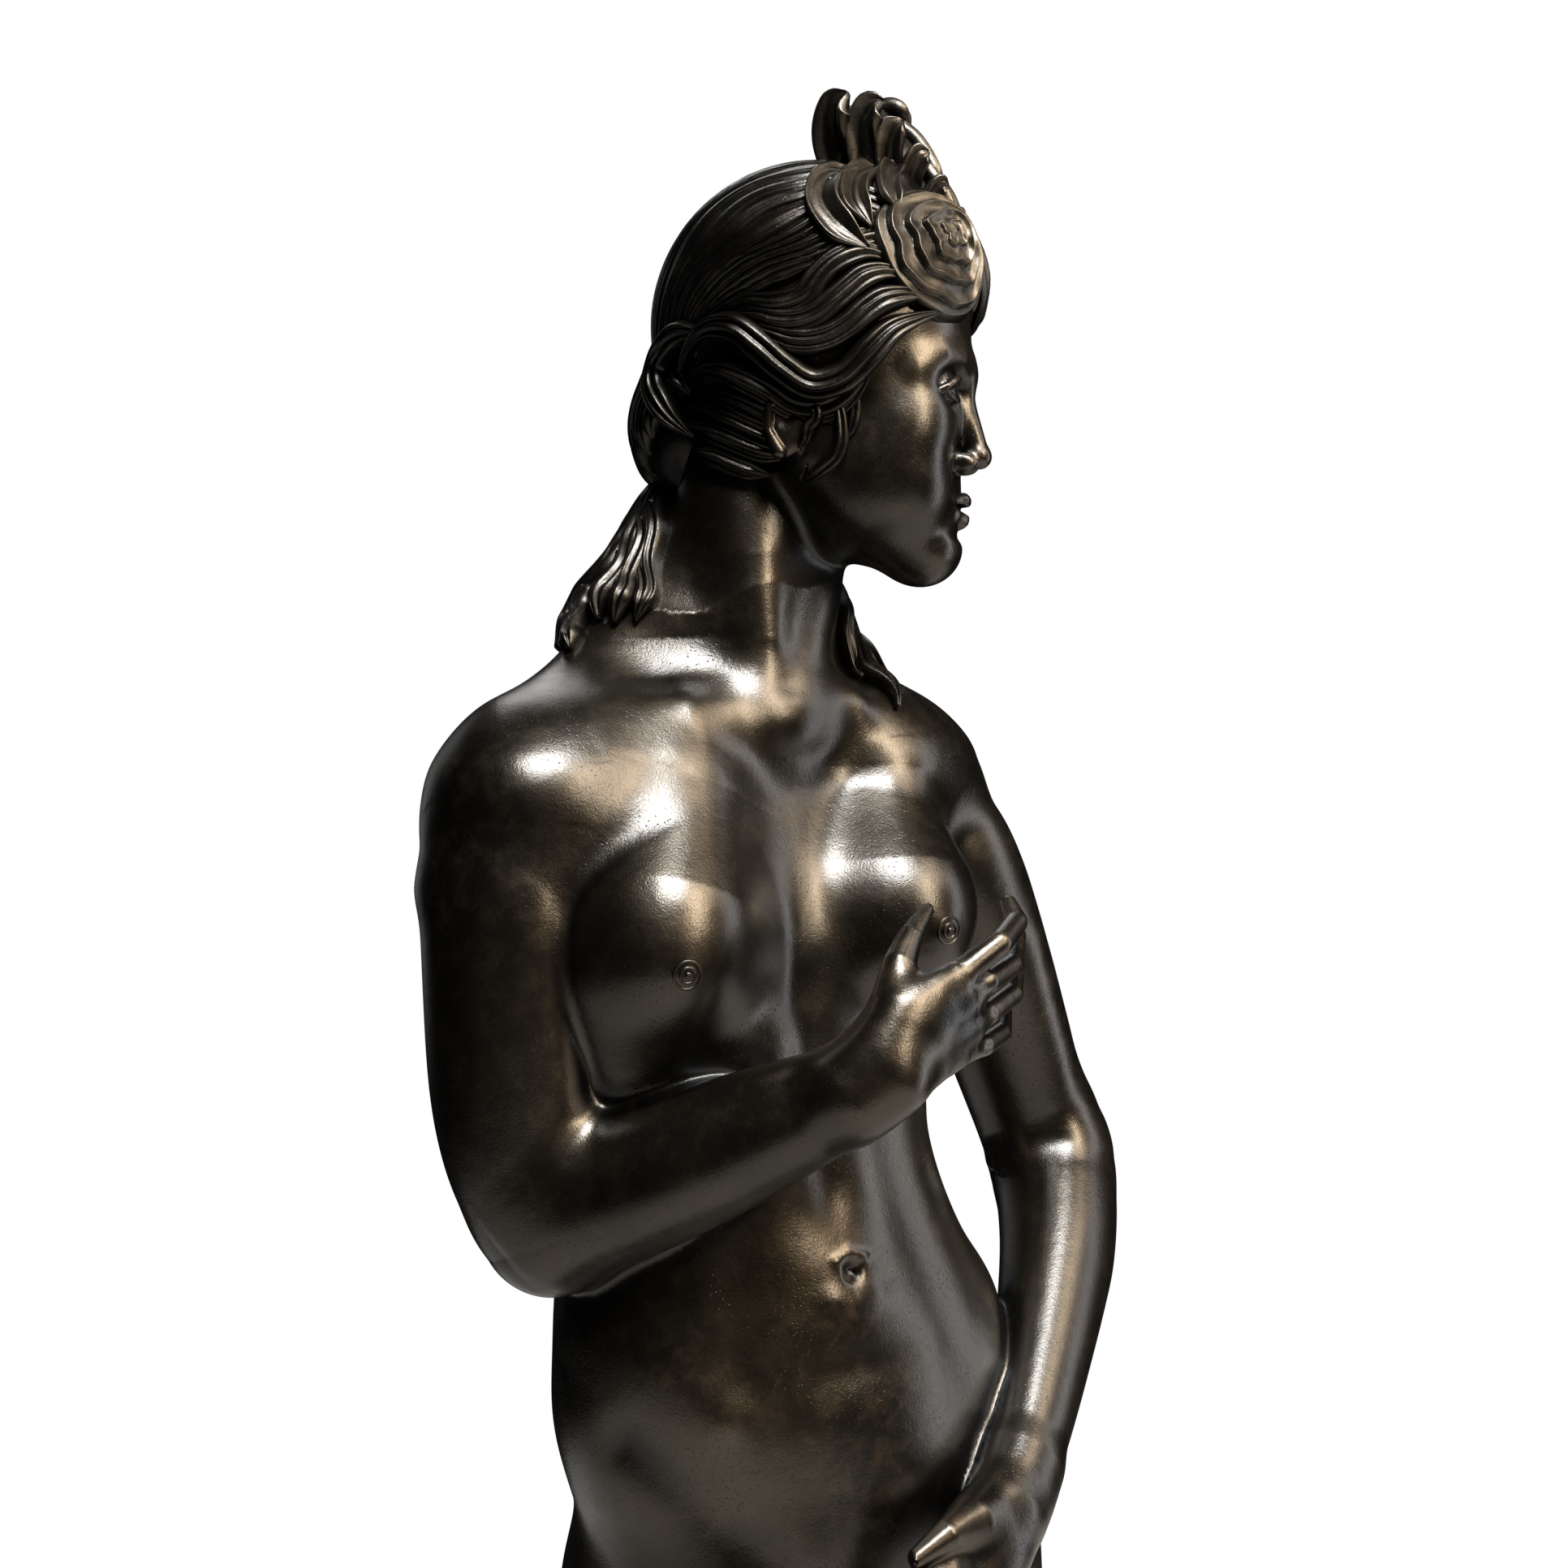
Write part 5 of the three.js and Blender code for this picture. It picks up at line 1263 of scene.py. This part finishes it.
# ---- materials -----------------------------------------------------------------------------
class Shader:
    """A material's nodes, with short calls to add them; place is the position in the frame, in metres."""

    def __init__(self, name):
        self.material = bpy.data.materials.new(name)
        self.material.use_nodes = True
        self.tree = self.material.node_tree
        self.surface = self.tree.nodes["Principled BSDF"]
        self.place = self.add("ShaderNodeTexCoord").outputs["Object"]

    def feed(self, node, socket, value):
        if isinstance(value, bpy.types.NodeSocket):
            self.tree.links.new(value, node.inputs[socket])
        else:
            node.inputs[socket].default_value = value

    def add(self, kind, inputs=None, **settings):
        node = self.tree.nodes.new(kind)
        for key, value in settings.items():
            setattr(node, key, value)
        for socket, value in (inputs or {}).items():
            self.feed(node, socket, value)
        return node

    def noise(self, scale, detail=3.0, rough=0.55, warp=0.0):
        inputs = {"Vector": self.place, "Scale": scale, "Detail": detail, "Roughness": rough,
                  "Distortion": warp}
        return self.add("ShaderNodeTexNoise", inputs).outputs["Fac"]

    def cells(self, scale, jitter=1.0):
        inputs = {"Vector": self.place, "Scale": scale, "Randomness": jitter}
        return self.add("ShaderNodeTexVoronoi", inputs).outputs["Distance"]

    def level(self, value, low, high, out_low=0.0, out_high=1.0):
        """The value's range from low to high, eased and stretched to the output range."""
        node = self.add("ShaderNodeMapRange", {"Value": value, "From Min": low, "From Max": high,
                                               "To Min": out_low, "To Max": out_high})
        node.interpolation_type = "SMOOTHSTEP"
        return node.outputs["Result"]

    def calc(self, operation, a, b=0.0):
        return self.add("ShaderNodeMath", {0: a, 1: b}, operation=operation).outputs[0]

    def blend(self, share, a, b):
        """From colour a at share 0 to colour b at 1; sockets 0, 6 and 7 are the share and the colours."""
        node = self.add("ShaderNodeMix", data_type="RGBA")
        self.feed(node, 0, share)
        for socket, value in ((6, a), (7, b)):
            self.feed(node, socket, value if isinstance(value, bpy.types.NodeSocket) else (*value, 1))
        return node.outputs[2]

    def bump(self, height, depth, strength=1.0, under=None):
        inputs = {"Height": height, "Distance": depth, "Strength": strength}
        if under is not None:
            inputs["Normal"] = under
        return self.add("ShaderNodeBump", inputs).outputs["Normal"]

    def finish(self, **sockets):
        for name, value in sockets.items():
            self.feed(self.surface, name.replace("_", " "), value)
        return self.material


def patinated_bronze(name, dark, brown, worn, gloss, wax):
    """Nearly black waxed patina, warmer where handling has thinned it, over a finely pitted cast skin."""
    s = Shader(name)
    rub = s.add("ShaderNodeAttribute", attribute_name="rub").outputs["Fac"]
    clouds = s.noise(22, 3, 0.5, 0.4)
    mottle = s.noise(210, 5, 0.65, 0.3)
    grain = s.noise(1500, 4, 0.7)
    open_skin = s.level(rub, 0.12, 0.62)
    cloudy = s.calc("MULTIPLY", s.level(clouds, 0.3, 0.72, 0.35, 1.0), open_skin)
    thin = s.calc("MULTIPLY", s.level(mottle, 0.45, 0.75), s.level(rub, 0.5, 1.0, 0.06, 0.5))
    colour = s.blend(cloudy, dark, brown)
    colour = s.blend(thin, colour, worn)
    colour = s.blend(s.level(grain, 0.5, 0.72, 0, 0.45), colour, dark)
    bright = s.level(s.cells(900), 0.05, 0.1, 0.10, 0)
    colour = s.blend(s.calc("MULTIPLY", bright, s.level(s.noise(45, 2), 0.5, 0.6)), colour, worn)
    specks = s.level(s.cells(1050), 0.08, 0.24, 1, 0)
    rare = s.level(s.noise(70, 2), 0.47, 0.62)
    pit = s.calc("MULTIPLY", specks, rare)
    colour = s.blend(s.calc("MULTIPLY", pit, 0.85), colour, (0.003, 0.003, 0.003))
    rough = s.level(mottle, 0.3, 0.7, gloss - 0.04, gloss + 0.06)
    rough = s.calc("ADD", rough, s.calc("MULTIPLY", pit, 0.3))
    rough = s.calc("ADD", rough, s.level(rub, 0.0, 0.4, 0.14, 0.0))
    normal = s.bump(s.noise(75, 3, 0.5), 0.0010, 0.10)
    normal = s.bump(s.noise(420, 4, 0.6), 0.0003, 0.16, normal)
    normal = s.bump(s.noise(2300, 3, 0.7), 0.00007, 0.6, normal)
    normal = s.bump(pit, -0.0001, 0.32, normal)
    return s.finish(Base_Color=colour, Metallic=0.9, Roughness=rough, Normal=normal, Coat_Weight=wax,
                    Coat_Roughness=0.22, Coat_IOR=1.5, Coat_Normal=normal)


def bare_metal(name, light, dark, grain_scale, roughness):
    """Unpolished metal of the hidden sleeves, pins and fixings, with file and lathe marks."""
    s = Shader(name)
    marks = s.noise(grain_scale, 5, 0.7, 0.4)
    stains = s.noise(90, 4, 0.6)
    colour = s.blend(s.level(stains, 0.35, 0.65), dark, light)
    rough = s.level(marks, 0.3, 0.7, roughness - 0.12, roughness + 0.12)
    lines = s.add("ShaderNodeTexWave", {"Vector": s.place, "Scale": 900, "Distortion": 2.0, "Detail": 2.0},
                  bands_direction="Z").outputs["Fac"]
    normal = s.bump(marks, 0.0002, 0.4, s.bump(lines, 0.00005, 0.4))
    return s.finish(Base_Color=colour, Metallic=1.0, Roughness=rough, Normal=normal)


def wool_felt(name):
    s = Shader(name)
    fibres = s.noise(1500, 6, 0.75, 1.2)
    patches = s.noise(70, 3)
    colour = s.blend(s.level(fibres, 0.35, 0.7), (0.014, 0.032, 0.021), (0.034, 0.075, 0.05))
    colour = s.blend(s.level(patches, 0.4, 0.7, 0, 0.3), colour, (0.06, 0.08, 0.06))
    normal = s.bump(fibres, 0.0005, 0.8)
    return s.finish(Base_Color=colour, Roughness=0.95, Sheen_Weight=0.4, Sheen_Roughness=0.5, Normal=normal)


def pale_floor(name):
    s = Shader(name)
    colour = s.blend(s.level(s.noise(5, 3), 0.3, 0.7), (0.52, 0.515, 0.50), (0.57, 0.565, 0.55))
    return s.finish(Base_Color=colour, Roughness=0.85)


# ---- camera, lights and floor ----------------------------------------------------------------
VIEW_FROM = math.radians(-33)  # the viewing direction, from the front towards her right
VIEW_ROLL = math.radians(3)
VIEW_DISTANCE = 0.46
AIM = Vector(metres([3.35, -2.18, 422]))
LENS, SENSOR = 55.2, 36
LIT_POINT = Vector((0, 0, 0.40))
FLOOR_RADIUS = 0.8


def place_camera():
    data = bpy.data.cameras.new("camera")
    data.sensor_width = SENSOR
    data.lens = LENS
    data.clip_start = 0.01
    cam = bpy.data.objects.new("camera", data)
    bpy.context.scene.collection.objects.link(cam)
    back = Vector((math.sin(VIEW_FROM), -math.cos(VIEW_FROM), 0))
    right = Vector((0, 0, 1)).cross(back).normalized()
    up = back.cross(right)
    right, up = (right * math.cos(VIEW_ROLL) - up * math.sin(VIEW_ROLL),
                 up * math.cos(VIEW_ROLL) + right * math.sin(VIEW_ROLL))
    turn = Matrix((right, up, back)).transposed().to_4x4()
    cam.matrix_world = Matrix.Translation(AIM + back * VIEW_DISTANCE) @ turn
    bpy.context.scene.camera = cam


def softbox(name, azimuth, elevation, distance, width, height, power, colour=(1, 1, 1)):
    """A soft rectangular light aimed at the figure; azimuth counts to the right from the camera."""
    a = VIEW_FROM + math.radians(azimuth)
    e = math.radians(elevation)
    out = Vector((math.sin(a) * math.cos(e), -math.cos(a) * math.cos(e), math.sin(e)))
    data = bpy.data.lights.new(name, "AREA")
    data.shape = "RECTANGLE"
    data.size, data.size_y = width, height
    data.energy = power
    data.color = colour
    light = bpy.data.objects.new(name, data)
    light.location = LIT_POINT + out * distance
    light.rotation_euler = out.to_track_quat("Z", "Y").to_euler()
    bpy.context.scene.collection.objects.link(light)


def studio():
    """A cool key high on the right, warm glows beside it, dim lights round the back, white behind."""
    softbox("key", 26, 56, 1.1, 0.40, 0.42, 25, (0.95, 0.98, 1.0))
    softbox("chest_glow", 68, 40, 1.3, 0.6, 0.5, 8, (1.0, 0.85, 0.68))
    softbox("front_fill", 51, 27, 1.5, 0.28, 0.8, 17, (1.0, 0.84, 0.64))
    softbox("right_wall", 96, 4, 1.3, 0.3, 1.5, 6, (0.95, 0.97, 1.0))
    softbox("left_wall", -140, 15, 1.5, 0.6, 1.0, 0.6)
    softbox("back", 180, 48, 1.4, 0.9, 0.6, 4)
    world = bpy.data.worlds.new("surround")
    world.use_nodes = True
    tree = world.node_tree
    shown, lit, pick, seen = (tree.nodes.new("ShaderNode" + kind)
                              for kind in ("Background", "Background", "MixShader", "LightPath"))
    shown.inputs["Color"].default_value = (1, 1, 1, 1)
    shown.inputs["Strength"].default_value = 1.0
    lit.inputs["Color"].default_value = (0.90, 0.94, 1.0, 1)
    lit.inputs["Strength"].default_value = 0.006
    tree.links.new(seen.outputs["Is Camera Ray"], pick.inputs[0])
    tree.links.new(lit.outputs[0], pick.inputs[1])
    tree.links.new(shown.outputs[0], pick.inputs[2])
    tree.links.new(pick.outputs[0], tree.nodes["World Output"].inputs["Surface"])
    bpy.context.scene.world = world
    bpy.context.scene.view_settings.view_transform = "Standard"
    bpy.context.scene.view_settings.gamma = 0.9


def floor():
    count = 96
    a = np.linspace(0, 2 * math.pi, count, endpoint=False)
    rim = [(FLOOR_RADIUS * math.cos(t), FLOOR_RADIUS * math.sin(t), 0.0) for t in a]
    mesh = bpy.data.meshes.new("floor")
    mesh.from_pydata(rim, [], [tuple(range(count))])
    disc = bpy.data.objects.new("floor", mesh)
    mesh.materials.append(pale_floor("floor_paint"))
    bpy.context.scene.collection.objects.link(disc)
    disc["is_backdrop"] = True


# ---- pieces ----------------------------------------------------------------------------------
THIGH_JOINT_Z = 232
RIGHT_ARM_JOINT_Z, LEFT_ARM_JOINT_Z = 398, 396
NECK_JOINT = np.array([-1.0, 1.0, 457.0])
NECK_NORMAL = np.array([0.35 * FORWARD[0], 0.35 * FORWARD[1], 1.0])
NECK_NORMAL /= np.linalg.norm(NECK_NORMAL)


def above_neck(P):
    return (NECK_JOINT - P) @ NECK_NORMAL


def in_right_arm(P):
    return np.maximum(right_arm(P) - torso(P), P[:, 2] - RIGHT_ARM_JOINT_Z)


def in_left_arm(P):
    return np.maximum(left_arm(P) - torso(P), P[:, 2] - LEFT_ARM_JOINT_Z)


def below_thighs(P):
    return P[:, 2] - THIGH_JOINT_Z


CASTINGS = {
    "torso": ((-75, -62, 224), (68, 52, 470), 0.9,
              [lambda P: -below_thighs(P), lambda P: -above_neck(P), lambda P: -in_right_arm(P),
               lambda P: -in_left_arm(P)]),
    "head": ((-32, -48, 446), (46, 34, 542), 0.46, [above_neck]),
    "right_arm": ((-80, -72, 325), (24, 22, 410), 0.6, [in_right_arm]),
    "left_arm": ((-4, -60, 240), (92, 34, 408), 0.6, [in_left_arm]),
    "right_leg": ((-62, -56, -2), (4, 52, 240), 0.75,
                  [below_thighs, lambda P: right_leg(P) - left_leg(P)]),
    "left_leg": ((-4, -72, -2), (62, 52, 240), 0.75,
                 [below_thighs, lambda P: left_leg(P) - right_leg(P)]),
}


def wear(P, N):
    """0 in creases to 1 on open, rounded forms."""
    reach = 4.0
    open_air = spread(figure, P + N * reach) / reach
    thick = -spread(figure, P - N * reach) / reach
    return np.clip(0.62 * open_air + 0.9 * (open_air - thick), 0, 1)


def cast_piece(node):
    low, high, cell, cuts = CASTINGS[node]
    verts, faces = surface(figure, low, high, cell)
    for cut in cuts:
        verts, faces = clip(verts, faces, spread(cut, verts))
    normals, _ = slope(figure, verts, 0.12)
    normals /= np.maximum(np.linalg.norm(normals, axis=1), 1e-6)[:, None]
    rub = wear(verts, normals)
    count = len(verts)
    verts, faces = closed(verts, faces)
    extra = len(verts) - count
    normals = np.vstack([normals, np.tile((0, 0, 1.0), (extra, 1))])
    rub = np.concatenate([rub, np.zeros(extra)])
    return make_mesh(node + "_casting", verts, faces, normals, rub)


def shape_piece(name, shape, in_head=False):
    verts = np.vstack(shape.verts)
    if in_head:
        verts = from_head(verts)
    return make_mesh(name, verts, shape.faces, rub=np.concatenate(shape.rub))


def fit(obj, node, material):
    obj.data.materials.append(material)
    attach(obj, "root")
    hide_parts(node)


# ---- assembly --------------------------------------------------------------------------------
place_camera()
# the same bronze as it looks on skin, hair, the bow and the base: dark, brown and worn colours, gloss, wax
PATINAS = [
    ("dark_bronze", (0.005, 0.0045, 0.004), (0.053, 0.042, 0.029), (0.14, 0.10, 0.065), 0.35, 0.75),
    ("chased_bronze", (0.004, 0.0035, 0.003), (0.032, 0.027, 0.021), (0.12, 0.10, 0.075), 0.36, 0.4),
    ("worn_bronze", (0.006, 0.005, 0.004), (0.085, 0.070, 0.052), (0.22, 0.18, 0.135), 0.40, 0.5),
    ("base_bronze", (0.006, 0.0055, 0.005), (0.04, 0.032, 0.022), (0.10, 0.075, 0.045), 0.36, 0.6),
]
bronze, hair_bronze, bow_bronze, base_bronze = (patinated_bronze(*row) for row in PATINAS)
for node in CASTINGS:
    fit(cast_piece(node), node, bronze)
fit(shape_piece("head_hair", head_hair(), True), "head", hair_bronze)
fit(shape_piece("hair_bow_lobes", bow_hair(), True), "hair_bow", bow_bronze)
fit(shape_piece("shoulder_hair", shoulder_hair()), "torso", hair_bronze)
fit(shape_piece("breast_rings", punched_rings()), "torso", bronze)
fit(shape_piece("urn_body", urn_shape()), "urn", base_bronze)
fit(shape_piece("urn_drape", cloth_shape()), "urn_cloth", base_bronze)
fit(shape_piece("plinth_block", plinth_shape()), "plinth", base_bronze)
fit(shape_piece("felt_ring", pad_shape()), "base_pad", wool_felt("green_felt"))

# the hidden fixings keep their CAD shapes
raw_bronze = bare_metal("raw_bronze", (0.42, 0.30, 0.16), (0.22, 0.15, 0.08), 1200, 0.45)
steel = bare_metal("mild_steel", (0.42, 0.42, 0.43), (0.22, 0.21, 0.2), 900, 0.4)
FINISHES = [(("_stud", "_washer", "_nut"), steel), (("_sleeve", "_pin", "_pin_1", "_pin_2"), raw_bronze)]
for name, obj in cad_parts.items():
    for endings, finish in FINISHES:
        if name.endswith(endings):
            obj.data.materials.clear()
            obj.data.materials.append(finish)

floor()
studio()
boxes = {"cad": cad_box, "visual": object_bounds()}
{name: [list(corner) for corner in box] for name, box in boxes.items()}
